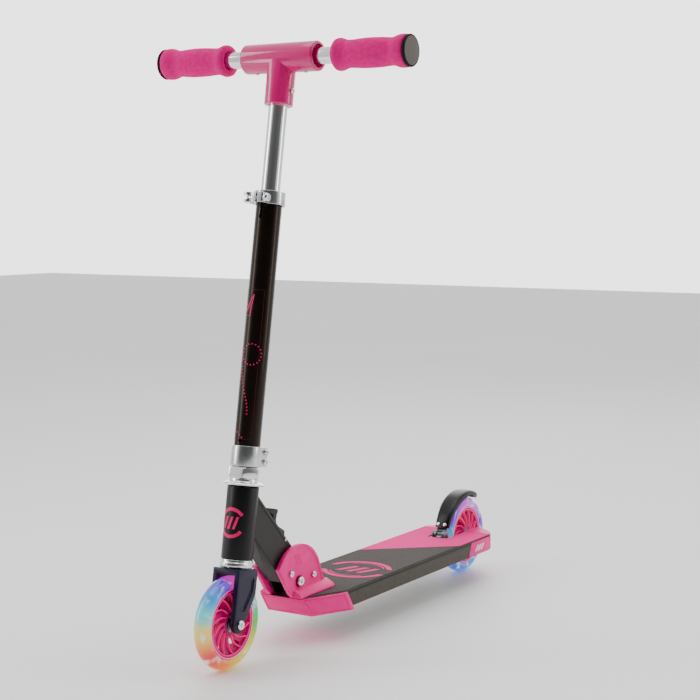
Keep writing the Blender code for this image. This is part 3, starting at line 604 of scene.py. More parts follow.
def make_griptape():
    for name, rear_part, material in (
        ("griptape_front", False, GRIT_DARK), ("griptape_rear", True, GRIT_PINK)
    ):
        sheet = soften(prism(rounded(tape_outline(rear_part), 2.5, 4), TAPE_LOW, TAPE_TOP, "Z"), 0.2, 1, 60)
        put(name, sheet, material, "deck", CHASSIS, "griptape", slot="griptape")
    centre, lift = (7, 303), CHASSIS @ Matrix.Translation((0, 0, TAPE_TOP * MM))
    ring = []
    for start, end in ((25, 170), (205, 350)):
        ring.append(ribbon(arc(centre, 50, start, end, 40), arc(centre, 42.5, start + 4, end - 4, 40)))
        ring.append(
            ribbon(arc(centre, 39.5, start + 12, end - 40, 28), arc(centre, 37.5, start + 12, end - 40, 28))
        )
    for k in (-1, 0, 1):
        middle = centre[0] + k * 17
        ring.append(stroke([(middle - 9, centre[1] - 16), (middle + 4, centre[1] + 16)], 8))
    put("deck_emblem", joined(*ring), GRIT_PINK, "deck", lift, slot="griptape")


def make_nose_bumper():
    low, high = 40.3, 67.5
    outer = loft(nose_plan(low, 2.5, 208.5), low, nose_plan(high, 2.5, 190.5), high)
    sides = largest_faces(outer, (0.9, -0.4, -0.1), 1) + largest_faces(outer, (-0.9, -0.4, -0.1), 1)
    sides += largest_faces(outer, (0, -0.8, -0.6), 1)
    framed(outer, sides, 2.6, 2.6, 1.4)
    inner = loft(nose_plan(43.9, 0.35, 240), 43.9, nose_plan(75, 0.35, 240), 75)
    bumper = soften(carve(outer, inner), 0.5, 2, 30)
    put("nose_bumper_shell", bumper, PINK_NYLON, "deck", CHASSIS, "nose_bumper", slot="pink_plastic")


def make_dropouts():
    plan = [(13.6, 616.3), (59.6, 616.3), (59.2, 622), (52, 633.5), (40, 645), (27, 653.5), (13.6, 655)]
    for side, word in SIDES:
        block = soften(prism(rounded(plan, 6, 4), 44.6, 69.2, "Z"), 1.6, 3, 30)
        centre = (0, 634, 60)
        block = carve(block, rod(7.6, 22, 62, "X", centre), rod(BOLT_HOLE, 5, 24, "X", centre))
        tongue, boss = box((13.6, 590, 50), (15.9, 620, 65)), pipe(6.5, BOLT_HOLE, 8.6, 14.5, "X", centre, 48)
        whole = mirrored(joined(block, tongue, boss), side)
        put(
            f"tail_casting_{word}", whole, PINK_PAINT, "deck", CHASSIS, f"tail_dropout_{word}",
            slot="pink_paint",
        )


# Folding hinge


def make_cheeks():
    base = TAPE_LOW - PIVOT_HEIGHT
    front = [(-13.5, base), (-22.5, -12.7), (-47.5, 23.3)]
    dome = arc((0.5, -4.7), 54.5, 149.7, 8.5, 40)
    outline = front + dome[1:] + [(61.5, -8.7), (69.5, -18.0), (69.5, base)]
    panel = [(-18.6, -8.0), (-42.2, 21.4)] + arc((0.5, -4.7), 50.0, 147, 12, 36) + [(56.5, -8.0)]
    foot = [
        (17, base), (33.5, base), (33.5, base + 2.6), (31, base + 5.2), (21.5, base + 11), (17, base + 11)
    ]
    for side, word in SIDES:
        plate = soften(prism(outline, 15.2, 21.2), 0.8, 3, 30)
        plate = carve(plate, prism(rounded(panel, 2.0), 20.4, 30))
        flare = soften(prism(rounded(foot, 1.6, 4), -14, 69.4, "Y"), 0.9, 3, 40)
        cheek = mirrored(carve(plate, flare, operation="UNION"), side)
        put(
            f"hinge_cheek_cover_{word}", cheek, PINK_PAINT, "deck", PIVOT, f"hinge_cheek_{word}",
            slot="pink_paint",
        )
        bars = [stroke([(2 + k * 5.2, 22), (-4 + k * 5.2, 37)], 2.6, 0.5) for k in (-1, 0, 1)]
        badge = mirrored(stood(joined(*bars), 20.4), side)
        put(f"hinge_badge_{word}", badge, PINK_PAINT, "deck", PIVOT, slot="pink_paint")


def hex_prism(corner, low, high, axis="X"):
    """A hexagonal bar, given by the distance from its middle to a corner."""
    turns = [math.radians(60 * k) for k in range(6)]
    return prism([(corner * math.cos(a), corner * math.sin(a)) for a in turns], low, high, axis)


def socket_head(radius, socket, depth, base, height):
    """Half a bolt's profile: from its shank out to a head with a hollow in it."""
    top = base + height
    outside = [(radius, base), (radius, top - 0.8), (radius - 0.8, top)]
    return outside + [(socket, top), (socket * 0.9, top - depth), (0, top - depth)]


def make_hinge_bolts():
    face = 21.5
    bolt = [(0, -face - 5), (4.0, -face - 5), (4.0, face)] + socket_head(6.6, 3.0, 2.2, face, 4.0)
    put(
        "pivot_bolt", lathe(bolt, 64, "X", solid=True, corner=0.3), CHROME, "deck", PIVOT,
        "hinge_pivot_bolt", slot="chrome",
    )
    washer = pipe(7.6, 6.7, face, face + 0.9, "X", steps=64, corner=0.2)
    put("pivot_washer_ring", washer, DARK_RUBBER, "deck", PIVOT, slot="black_plastic")
    nut = carve(hex_prism(6.7, -face - 4, -face), rod(BOLT_HOLE, -face - 9, -face + 4, "X", corner=0))
    put("pivot_nut", soften(nut, 0.35, 2, 40), CHROME, "deck", PIVOT, "hinge_pivot_nut", slot="chrome")
    for name, (y, z) in (("cross_bolt_front", FRONT_CROSS_BOLT), ("cross_bolt_rear", (34.5, 2.6))):
        half = [(3.0, face)] + socket_head(4.4, 2.0, 1.4, face, 2.2)
        profile = [(r, -h) for r, h in reversed(half)] + half
        bolts = lathe(profile, 48, "X", (0, y, z), solid=True, corner=0.25)
        put(f"{name}_turned", bolts, CHROME, "deck", PIVOT, name, slot="chrome")


def beam_point(across, along):
    """A point of the neck: across its top face and along it from the pivot."""
    return (0.724 * across - 0.69 * along, 0.69 * across + 0.724 * along)


def belly_point(across, along):
    return (0.751 * across - 0.66 * along, 0.66 * across + 0.751 * along)


def make_neck():
    outline = [(-96.0, 142.0), beam_point(28.5, 33), beam_point(18.8, 30)]
    outline += arc((0, 0), 18.8, 43.6, -138.7, 28) + [(-104.9, 89.4)]
    beam = prism(outline, -14, 14)
    soften(beam, 0.9, 3, 30)
    beam = carve(
        beam, *[mirrored(prism(rounded(shrunk(outline, 4.5), 3), 13.4, 20), side) for side in (1, -1)]
    )
    inside = [
        beam_point(25.5, 175), beam_point(25.5, 37), beam_point(15.8, 33), beam_point(15.8, -45),
        belly_point(-32, -45), belly_point(-32, 8), belly_point(-16.5, 14), belly_point(-16.5, 130),
    ]
    head = rod(20.8, 40, 270, steps=96, corner=0)
    from_column = Matrix.Scale(1 / MM, 4) @ PIVOT.inverted() @ COLUMN @ Matrix.Scale(MM, 4)
    bmesh.ops.transform(head, matrix=from_column, verts=head.verts)
    bolt = FRONT_CROSS_BOLT
    reach, start = math.hypot(*bolt), math.degrees(math.atan2(bolt[1], bolt[0]))
    slot = arc((0, 0), reach + 4.2, start, 245, 24) + arc((0, 0), reach - 4.2, 245, start, 24)
    slot += arc(bolt, 4.2, start + 180, start + 360, 12)[1:-1]
    pin = RELEASE_PIN
    gap = [(28, 14), (28, -13), (-9, -13), (-9, 14)]
    window = [(pin[0] + p[0], pin[1] + p[1]) for p in (beam_point(a, -b) for a, b in gap)]
    beam = carve(beam, prism(inside, -10.5, 10.5), head, prism(slot, -20, 20), prism(window, -7.5, 7.5))
    beam = carve(beam, rod(BOLT_HOLE, -20, 20, "X", corner=0))
    put("neck_casting", beam, NECK_COAT, "neck", PIVOT, "neck_beam", slot="black_powder_coat")


def make_release_lever():
    pin = RELEASE_PIN
    outline = [
        (-29.5, 16.5), (-23.5, 16.8), (-17.5, 52), (-15.6, 57), (-13.2, 62), (-12, 66.7), (-13.5, 70),
        (-18, 72.5), (-26, 77), (-30.9, 81.5), (-32.5, 86), (-30.5, 92), (-27, 98.5), (-29, 101),
        (-49.3, 105.8), (-51.5, 102.5), (-39.5, 95), (-37.5, 88), (-36.5, 82), (-33.5, 78.4),
        (-27, 70), (-27.5, 58),
    ]
    local = [(y - pin[0], z - pin[1]) for y, z in outline]
    lever = soften(prism(rounded(local, 2.2, 3), -6.5, 6.5), 0.8, 3, 35)
    lever = carve(lever, rod(6.2, -6.4, 6.4, "X"), operation="UNION")
    lever = carve(lever, rod(2.4, -10, 10, "X", corner=0))
    put(
        "thumb_lever", lever, BLACK_PLASTIC, "release_lever", LEVER_PIN, "release_lever",
        slot="black_plastic",
    )


# Head tube, fork and stem


def emblem(radius, v):
    """A broken ring with three leaning bars inside it, laid on a tube."""
    parts = []
    for start, end in ((35, 185), (205, 325)):
        parts.append(ribbon(arc((0, v), 19.6, start, end, 60), arc((0, v), 15.2, start, end, 60)))
    for k in (-1, 0, 1):
        parts.append(stroke([(k * 7.5 - 5 + 0.5 * j, v - 8 + 1.6 * j) for j in range(11)], 3.6))
    return wrapped(joined(*parts), radius)


def make_head():
    low, high = 79.4, 172.3
    tube = pipe(HEAD_RADIUS, 17.0, low, high, steps=128, corner=1.2)
    put("head_tube_barrel", tube, BLACK_COAT, "neck", COLUMN, "head_tube", slot="black_powder_coat")
    put("head_emblem", emblem(HEAD_RADIUS, 125.6), INK, "neck", COLUMN, slot="pink_paint")
    top, skirt = high + 0.3, 16.7
    upper = [
        (15, top - 7), (skirt, top - 7), (skirt, top), (20.6, top), (26.6, top + 1.4), (27.2, top + 2.8),
        (25.4, top + 4.4), (20.6, top + 6.2), (19.6, 182.6), (15, 182.6),
    ]
    put(
        "headset_cup_upper_turned", lathe(upper, 96, corner=0.8), CHROME, "neck", COLUMN,
        "headset_cup_upper", slot="chrome",
    )
    base, crown = low - 0.3, 67.5
    lower = [
        (15, base + 7), (15, crown + 1.4), (20.2, crown + 1.4), (22.2, crown + 3), (22.2, base - 4.4),
        (20.8, base - 2.6), (20.8, base), (skirt, base), (skirt, base + 7),
    ]
    put(
        "headset_cup_lower_turned", lathe(lower, 96, corner=0.8), CHROME, "neck", COLUMN,
        "headset_cup_lower", slot="chrome",
    )


def make_fork():
    axle = (-9.564, -1.618)
    outline = [(-21, 67.5), (21, 67.5), (20.5, 36)] + arc(axle, 11.5, 8, -180, 28)
    fork = prism(outline, -20.5, 20.5)
    soften(fork, 1.1, 3, 30)
    fork = carve(fork, box((-14, -50, -40), (14, 50, 60.8)))
    soften(fork, 0.5, 2, 60)
    panel = rounded([(-14.5, 56.5), (14.5, 56.5), (13.5, 40), (-1, 15), (-14.5, 15)], 3, 4)
    frame_line = rounded([(-12, 54), (12, 54), (11, 41.5), (-2, 18), (-12, 18)], 3, 4)
    for side in (1, -1):
        fork = carve(
            fork, mirrored(prism(panel, 19.4, 30), side), mirrored(prism(frame_line, 18.8, 30), side)
        )
    centre = (0, *axle)
    bosses = joined(
        pipe(6.5, BOLT_HOLE, 8.6, 14.2, "X", centre, 48), pipe(6.5, BOLT_HOLE, -14.2, -8.6, "X", centre, 48)
    )
    fork = joined(carve(fork, rod(BOLT_HOLE, -40, 40, "X", centre, corner=0)), bosses)
    # The fork's coat has the wheel's violet light painted into its base colour.
    put("fork_casting", fork, GLOW_TINTED_FORK_COAT, "steering", COLUMN, "fork", slot="black_powder_coat")


def make_axle(name, face, place, body):
    left, right = face + 0.3, -face - 0.3
    bolt = [(0, right - 5), (4.0, right - 5), (4.0, left)] + socket_head(6.2, 2.8, 2.0, left, 3.5)
    put(
        f"{name}_screw", lathe(bolt, 64, "X", solid=True, corner=0.3), CHROME, body, place, f"{name}_bolt",
        slot="chrome",
    )
    nut = carve(hex_prism(6.5, right - 4, right), rod(BOLT_HOLE, right - 9, right + 4, "X", corner=0))
    put(f"{name}_hex_nut", soften(nut, 0.35, 2, 40), CHROME, body, place, f"{name}_nut", slot="chrome")


def stem_decal():
    """A thin printed frame with a dotted trail and a small arrowhead."""
    half, low, high, line = 14.5, 232, 424, 0.7
    corners = [(-half, low), (half, low), (half, high), (-half, high)]
    lines = []
    for (u1, v1), (u2, v2) in zip(corners, corners[1:] + corners[:1]):
        count = 12
        along = [(u1 + (u2 - u1) * i / count, v1 + (v2 - v1) * i / count) for i in range(count + 1)]
        side = (line, 0) if u1 == u2 else (0, line)
        lines.append(ribbon(along, [(u + side[0], v + side[1]) for u, v in along], 0.12))
    outline = wrapped(joined(*lines), STEM_RADIUS)
    put("stem_decal_frame", outline, INK_DIM, "steering", COLUMN, slot="pink_paint")
    turns = [math.radians(a) for a in range(-150, 200, 20)]
    trail = [(5 + 13.0 * math.cos(a), 341 + 13.5 * math.sin(a)) for a in turns]
    trail += [(-8 + 14 * (1 - math.cos(math.pi * t / 14)) / 2, 325 - 4.3 * t) for t in range(15)]
    trail += [(-10 + 4 * t, 244 - 3.2 * t) for t in range(4)]
    dots = joined(*[spot(u, v, 0.95) for u, v in trail])
    put("stem_decal_trail", wrapped(dots, STEM_RADIUS), INK, "steering", COLUMN, slot="pink_paint")
    edges = [((-13, 392), (1, 418)), ((1, 418), (-3, 390)), ((-3, 390), (-13, 392)), ((1, 418), (-9, 396))]
    strokes = []
    for (u1, v1), (u2, v2) in edges:
        along = [(u1 + (u2 - u1) * i / 6, v1 + (v2 - v1) * i / 6) for i in range(7)]
        strokes.append(stroke(along, 1.1))
    put(
        "stem_decal_arrow", wrapped(joined(*strokes), STEM_RADIUS), INK, "steering", COLUMN,
        slot="pink_paint",
    )


def make_stem():
    dress(ZINC, "steerer_tube")
    dress(BLACK_PLASTIC, "stem_bushing")
    low, high = 182.9, 196.7
    nut = carve(hex_prism(21.9, low, high, "Z"), rod(STEM_BORE, 170, 210, corner=0))
    turned = [(0, low), (19.6, low), (22.4, 184.8), (22.4, 194.8), (19.6, high), (0, high)]
    chamfer = lathe(turned, 96, solid=True, corner=0)
    nut = soften(carve(nut, chamfer, operation="INTERSECT"), 0.25, 2, 30)
    put("lock_nut", nut, CHROME, "steering", COLUMN, "headset_locknut", slot="chrome")
    tube = pipe(STEM_RADIUS, STEM_BORE, 197.2, 541.0, steps=128, corner=0.6)
    keyhole = [
        rod(2.7, -20, -12, "Y", (0, 0, 519), 32, corner=0), box((-1.5, -19.5, 520.5), (1.5, -12.5, 560))
    ]
    lower_hole = rod(2.4, -20, -12, "Y", (0, 0, 231), 32, corner=0)
    tube = carve(tube, *keyhole, lower_hole)
    put("stem_tube", tube, STEM_COAT, "steering", COLUMN, "stem_outer_tube", slot="black_powder_coat")
    stem_decal()


def make_lower_clamp():
    low, high = 198.0, 224.0
    collar = pipe(19.4, 17.4, low, high, steps=96, corner=0.7)
    ears = rounded([(-10.5, 17.0), (10.5, 17.0), (10.5, 33.5), (-10.5, 33.5)], 2.5, 4)
    lug = soften(prism(ears, low + 0.6, high - 0.6, "Z"), 0.8, 3, 40)
    collar = carve(collar, carve(lug, rod(17.6, low - 5, high + 5, corner=0)), operation="UNION")
    clamp = carve(collar, box((-0.9, 14, low - 5), (0.9, 40, high + 5)))
    put(
        "lower_clamp_collar", clamp, BRIGHT_ALLOY, "steering", COLUMN, "lower_clamp",
        slot="polished_aluminium",
    )
    for name, height in (("lower_clamp_bolt_upper", 217.6), ("lower_clamp_bolt_lower", 205.0)):
        profile = [(0, -13), (2.2, -13), (2.2, 10.8)] + socket_head(3.9, 1.9, 1.8, 10.8, 3.4)
        bolt = lathe(profile, 48, "X", (0, 27.0, height), solid=True, corner=0.25)
        put(f"{name}_turned", bolt, CHROME, "steering", COLUMN, name, slot="chrome")


def make_upper_clamp():
    low, high, bore, grip = 535.4, 552.6, 17.4, 13.2
    profile = [(bore, low), (20.6, low), (20.6, high), (grip, high), (grip, 542), (bore, 542)]
    collar = lathe(profile, 96, corner=0.7)
    ears = rounded([(-9.5, -17.5), (-9.5, -30), (9.5, -30), (9.5, -17.5)], 2.2, 4)
    block = soften(prism(ears, SKEWER[1] - 6.6, SKEWER[1] + 6.6, "Z"), 0.7, 3, 40)
    collar = carve(collar, carve(block, rod(18.6, low - 8, high + 8, corner=0)), operation="UNION")
    clamp = carve(collar, box((-1.2, -40, low - 10), (1.2, -8, high + 5)))
    put(
        "upper_clamp_collar", clamp, BRIGHT_ALLOY, "steering", COLUMN, "upper_clamp",
        slot="polished_aluminium",
    )
    skewer = joined(rod(2.5, -16.5, 14.6, "X", (0, *SKEWER)), rod(3.0, -6.4, 6.4, "Z", (-16.5, *SKEWER)))
    put("skewer_rod", skewer, CHROME, "steering", COLUMN, "clamp_skewer", slot="chrome")
    nut = lathe(
        [(2.8, 9.9), (5.9, 9.9), (5.9, 13.4), (4.4, 15.4), (2.8, 15.4)], 64, "X", (0, *SKEWER), corner=0.7
    )
    put("skewer_cap", nut, CHROME, "steering", COLUMN, "clamp_nut", slot="chrome")
    stem = (16.5, -SKEWER[0])
    head = pipe(6.0, 3.3, -6.5, 6.5, steps=64, corner=0.6)
    arm = arc(stem, 27.6, 228, 140, 28) + arc(stem, 24.0, 140, 226, 28)
    lever = carve(head, soften(prism(arm, -5.2, 5.2, "Z"), 0.8, 3, 40), operation="UNION")
    sector = [(0, 0)] + arc((0, 0), 12, 60, -210, 18)
    lever = carve(lever, prism(sector, -2.9, 2.9, "Z"))
    put(
        "quick_release_lever", lever, BRIGHT_ALLOY, "clamp_lever", CLAMP_PIN, "clamp_lever",
        slot="polished_aluminium",
    )


# Handlebar


def make_handle():
    tube = pipe(12.7, 10.9, 420, 705, steps=128, corner=0.4)
    tube = carve(tube, rod(2.3, 8, 25, "X", (0, 0, TEE_SCREW_HEIGHT), corner=0))
    put("inner_stem_tube", tube, CHROME, "handle", COLUMN, "stem_inner_tube", slot="chrome")
    end = [(0, 56.0), (TEE_BORE, 56.0), (TEE_RADIUS - 1.4, 56.0), (TEE_RADIUS, 54.6)]
    profile = [(r, -x) for r, x in end] + [(r, x) for r, x in reversed(end)]
    across = lathe(profile, 96, "X", (0, 0, BAR_HEIGHT), solid=True, corner=0.6)
    down = lathe(
        [(0, 666), (TEE_LEG - 1.2, 666), (TEE_LEG, 667.2), (TEE_LEG, BAR_HEIGHT), (0, BAR_HEIGHT)], 96,
        solid=True, corner=0.6,
    )
    tee = carve(across, down, operation="UNION")
    bore = [
        (0, -70), (TEE_BORE, -70), (TEE_BORE, -46), (11.3, -46), (11.3, 46), (TEE_BORE, 46), (TEE_BORE, 70),
        (0, 70),
    ]
    holes = [rod(3.1, 706, 722, "Z", (x, 0, 0), 40, corner=0) for x in (-BUTTON_OUT, BUTTON_OUT)]
    hollow = lathe(bore, 96, "X", (0, 0, BAR_HEIGHT), solid=True, corner=0)
    tee = carve(tee, rod(13.0, 650, 708, steps=96, corner=0), hollow)
    tee = carve(tee, *holes, rod(2.3, 8, 25, "X", (0, 0, TEE_SCREW_HEIGHT), corner=0))
    put("tee_casting", tee, PINK_ENAMEL, "handle", COLUMN, "handlebar_tee", slot="pink_enamel")
    face = TEE_LEG + 0.3
    screw = [(0, 9.5), (2.0, 9.5), (2.0, face)] + socket_head(3.8, 1.9, 1.6, face, 2.6)
    turned = lathe(screw, 48, "X", (0, 0, TEE_SCREW_HEIGHT), solid=True, corner=0.25)
    put("tee_set_screw", turned, CHROME, "handle", COLUMN, "tee_screw", slot="chrome")
    for side, word in SIDES:
        make_bar_half(side, word)


def make_bar_half(side, word):
    tube = pipe(11.0, 9.4, 3, 188.9, "X", steps=96, corner=0.4)
    tube = carve(tube, rod(3.1, -14, -6, "Z", (BUTTON_OUT, 0, 0), corner=0))
    put(f"bar_tube_{word}", mirrored(tube, side), CHROME, "handle", BAR, f"handlebar_{word}", slot="chrome")
    a, b, bore = 84.0, 188.8, 11.3
    profile = [
        (bore, a + 3.5), (13.2, a + 0.8), (16.2, a), (18.6, a + 0.4), (20.3, a + 2.0), (21.0, a + 4.8),
        (20.8, a + 8.0), (19.6, a + 11.5), (18.3, a + 15), (17.7, a + 19), (17.9, a + 25), (18.6, a + 34),
        (19.1, a + 45), (19.2, a + 55), (18.8, a + 66), (18.1, b - 30), (17.6, b - 24), (17.8, b - 20),
        (19.0, b - 16), (20.4, b - 12), (21.0, b - 8), (20.9, b - 3.6), (20.3, b - 1.3), (19.2, b),
        (bore, b),
    ]
    grip = lathe(profile, 128, "X", corner=0)
    bmesh.ops.subdivide_edges(grip, edges=[e for e in grip.edges if e.calc_length() > 4.5], cuts=2)
    for vert in grip.verts:
        reach = math.hypot(vert.co.y, vert.co.z)
        if reach > 15:
            swell = 1 + 0.12 * noise.noise(vert.co * 0.16) / reach
            vert.co.y *= swell
            vert.co.z *= swell
    piece = put(
        f"foam_grip_{word}", mirrored(grip, side), FOAM, "handle", BAR, f"grip_{word}", slot="pink_foam",
        sharp=60,
    )
    plug = [
        (0, 182), (9.1, 182), (9.1, b + 0.4), (19.6, b + 0.4), (20.5, b + 1.4), (20.5, b + 3.2),
        (19.6, b + 4.4), (18.6, b + 4.4), (18.4, b + 3.9), (0, b + 3.9),
    ]
    plug = mirrored(lathe(plug, 96, "X", solid=True, corner=0.35), side)
    put(f"end_plug_{word}", plug, DARK_RUBBER, "handle", BAR, f"bar_plug_{word}", slot="black_plastic")
    disc = rod(18.2, b + 3.9, b + 4.5, "X", steps=96, corner=0.3)
    put(f"end_plug_face_{word}", mirrored(disc, side), PLUG_FACE, "handle", BAR, slot="black_plastic")
    tip = -TEE_RADIUS - 1.7
    button = [
        (0, tip), (1.6, tip + 0.2), (2.5, tip + 1.1), (2.8, tip + 2.3), (2.8, -8), (4.2, -8), (4.2, -6),
        (0, -6),
    ]
    shape = lathe(button, 48, "Z", (BUTTON_OUT * side, 0, 0), solid=True, corner=0.2)
    put(f"bar_button_{word}", shape, ZINC, f"push_button_{word}", BAR, f"push_button_{word}", slot="steel")


# Wheels


def window_outline():
    """One swirled window of the wheel core, as (y, z) points."""
    inner, outer, lean = 17.5, 37.0, 24.0
    rising, falling = [], []
    for i in range(9):
        t = i / 8
        radius, turn = inner + (outer - inner) * t, lean * t + 6 * math.sin(math.pi * t)
        width = 10 + 4 * math.sin(math.pi * min(1.0, t * 1.1) / 1.6)
        rising.append((radius, 16 + turn - width - 2 * t))
        falling.append((radius, 16 + turn + width + 4 * t))
    loop = rising + falling[::-1]
    return [(r * math.cos(math.radians(a)), r * math.sin(math.radians(a))) for r, a in loop]


def vane(turn, side):
    """A thin curved rib that stands on the web of the core."""
    one = [(15.5 + 2.9 * i, turn + 3.6 * i) for i in range(9)]
    line = [Vector((r * math.cos(math.radians(a)), r * math.sin(math.radians(a)))) for r, a in one]
    normals = [(line[min(i + 1, 8)] - line[max(i - 1, 0)]).normalized() for i in range(9)]
    left = [(p.x - 0.6 * n.y, p.y + 0.6 * n.x) for p, n in zip(line, normals)]
    right = [(p.x + 0.6 * n.y, p.y - 0.6 * n.x) for p, n in zip(line, normals)]
    low, high = (4.6, 8.2) if side > 0 else (-8.2, -4.6)
    return prism(left + right[::-1], low, high)


def make_wheel(word, place, material):
    body = f"{word}_wheel"
    rim = 45.5
    half = [(rim, 9.3), (46.4, 10.6), (48.2, 11.0), (49.4, 11.9)] + [
        (49.6 + 10.4 * math.sin(math.radians(a)), 12.0 * math.cos(math.radians(a))) for a in range(8, 89, 8)
    ]
    tyre = lathe([(r, x) for r, x in half] + [(r, -x) for r, x in reversed(half)], 144, "X", corner=0)
    put(f"{word}_glow_tyre", tyre, material, body, place, f"{word}_tyre", slot="clear_urethane")
    half_core = [
        (11.3, 8.6), (14.4, 8.6), (15.2, 7.8), (15.6, 5), (38.6, 5), (39.4, 7.6), (41.0, 9), (45.2, 9),
    ]
    core = lathe(half_core + [(r, -x) for r, x in reversed(half_core)], 112, "X", corner=0.4)
    windows = []
    for i in range(WINDOWS):
        window = prism(window_outline(), -12, 12)
        bmesh.ops.rotate(window, matrix=Matrix.Rotation(math.tau * i / WINDOWS, 3, "X"), verts=window.verts)
        windows.append(window)
    core = carve(core, joined(*windows))
    put(f"{word}_spoked_core", core, CORE_NYLON, body, place, f"{word}_wheel_core", slot="pink_plastic")
    ribs = [vane(360 * i / VANES - 4, side) for i in range(VANES) for side in (1, -1)]
    rings = [
        pipe(41.2, 39.6, 8.6 * side - 0.6, 8.6 * side + 0.6, "X", steps=96, corner=0.3) for side in (1, -1)
    ]
    # The ribs carry a brighter copy of the core's nylon with a painted glow.
    put(f"{word}_core_ribs", joined(*rings, *ribs), RIB_NYLON_PAINTED_GLOW, body, place, slot="pink_plastic")
    band = pipe(44.6, 43.4, -9.7, 9.7, "X", steps=112, corner=0.3)
    put(f"{word}_light_ring", band, RING_GLOW, body, place, slot="clear_urethane")
    for side, hand in SIDES:
        profile = [
            (BOLT_HOLE, 1.2), (11, 1.2), (11, 8.2), (9.6, 8.2), (9.3, 7.8), (6.6, 7.8), (6.3, 8.2),
            (BOLT_HOLE, 8.2),
        ]
        bearing = mirrored(lathe(profile, 64, "X", corner=0.2), side)
        put(
            f"{word}_bearing_rings_{hand}", bearing, ZINC, body, place, f"{word}_bearing_{hand}",
            slot="steel",
        )


# Brake


def make_brake():
    hub = (72.0, -13.0)
    bracket = joined(
        soften(box((-13.4, -8.7, -8.5), (13.4, 4.5, -4.6)), 0.5),
        ear_plate(9.4, 12.6), ear_plate(-12.6, -9.4),
    )
    put("brake_bracket_stamping", bracket, STAMPED, "deck", BRAKE_PIN, "brake_bracket", slot="steel")
    put(
        "brake_pin_turned", rod(2.0, -13.4, 13.4, "X", corner=0.5), ZINC, "deck", BRAKE_PIN, "brake_pin",
        slot="steel",
    )
    dress(ZINC, "brake_spring", "release_lever_pin")
    face, back = 67.55, 65.6
    blade = arc(hub, face - 0.25, 162, 153, 8) + arc(hub, back + 0.25, 153, 162, 8)
    blade = [(-0.4, 3.2)] + blade + [(3.3, 0.2)]
    tube = pipe(4.2, 2.3, -8.9, 8.9, "X", steps=48, corner=0.3)
    arm = carve(tube, soften(prism(blade, -8.5, 8.5), 0.3), operation="UNION")
    pad = soften(prism(arc(hub, face, 160, 151, 8) + arc(hub, back, 151, 160, 8), -11, 11), 0.4)
    arm = carve(carve(arm, pad, operation="UNION"), rod(4.7, -5.0, 5.0, "X", corner=0))
    put("brake_arm_stamping", arm, STAMPED, "brake", BRAKE_PIN, "brake_arm", slot="steel")
    make_fender(hub)


def ear_plate(low, high):
    return soften(prism([(-4.5, -6), (4.5, -6)] + arc((0, 0), 4.5, 0, 180, 16), low, high), 0.3)


def make_fender(hub):
    """A curved blade that widens from its root and ends in a rounded tip."""
    inner, outer, start, end, steps = 68.0, 71.6, 161.5, 52.0, 60
    bm = bmesh.new()
    rings = []
    for i in range(steps + 1):
        t = i / steps
        angle = math.radians(start + (end - start) * t)
        tip = math.sqrt(max(0.0, 1 - max(0.0, (t - 0.88) / 0.12) ** 2))
        half = (11.2 + 2.4 * min(1.0, t / 0.3) - 3.2 * max(0.0, (t - 0.6) / 0.4)) * max(0.12, tip)
        lip = 64.9 - 3.6 * math.sin(math.pi * min(1.0, t / 0.9)) ** 2 + 2.6 * (1 - tip)
        right = [
            (half * 0.55, outer), (half * 0.82, outer - 0.5), (half * 0.96, outer - 1.6), (half, outer - 3.2),
            (half, lip), (half - min(1.2, half * 0.4), lip),
            (half - min(1.5, half * 0.5), inner - 0.9),
            (half - min(2.6, half * 0.6), inner),
        ]
        section = right + [(-x, r) for x, r in reversed(right)]
        ring = [(x, hub[0] + r * math.cos(angle), hub[1] + r * math.sin(angle)) for x, r in section]
        rings.append([bm.verts.new(p) for p in ring])
    count = len(rings[0])
    loops = []
    for ring in rings:
        loops.append([bm.edges.new((ring[j], ring[(j + 1) % count])) for j in range(count)])
    for one, other in zip(loops, loops[1:]):
        bmesh.ops.bridge_loops(bm, edges=one + other)
    bmesh.ops.holes_fill(bm, edges=loops[0] + loops[-1], sides=0)
    put("fender_blade", bm, BLACK_PLASTIC, "brake", BRAKE_PIN, "brake_fender", slot="black_plastic", sharp=50)
    for x, word in ((5.6, "left"), (-5.6, "right")):
        profile = [
            (0, 64.6), (2.7, 64.6), (2.7, 65.3), (1.6, 65.3), (1.6, 71.9), (3.0, 71.9), (2.7, 72.7),
            (1.6, 73.4), (0, 73.5),
        ]
        rivet = lathe(profile, 40, solid=True, corner=0.15)
        place = Matrix.Translation((x, *hub)) @ Matrix.Rotation(math.radians(158) - math.pi / 2, 4, "X")
        bmesh.ops.transform(rivet, matrix=place, verts=rivet.verts)
        put(
            f"fender_rivet_{word}", rivet, CHROME, "brake", BRAKE_PIN, f"brake_rivet_{word}",
            slot="polished_aluminium",
        )


# Studio


def aim(thing, place, target):
    thing.location = place
    thing.rotation_euler = (Vector(target) - Vector(place)).to_track_quat("-Z", "Y").to_euler()
    bpy.context.scene.collection.objects.link(thing)


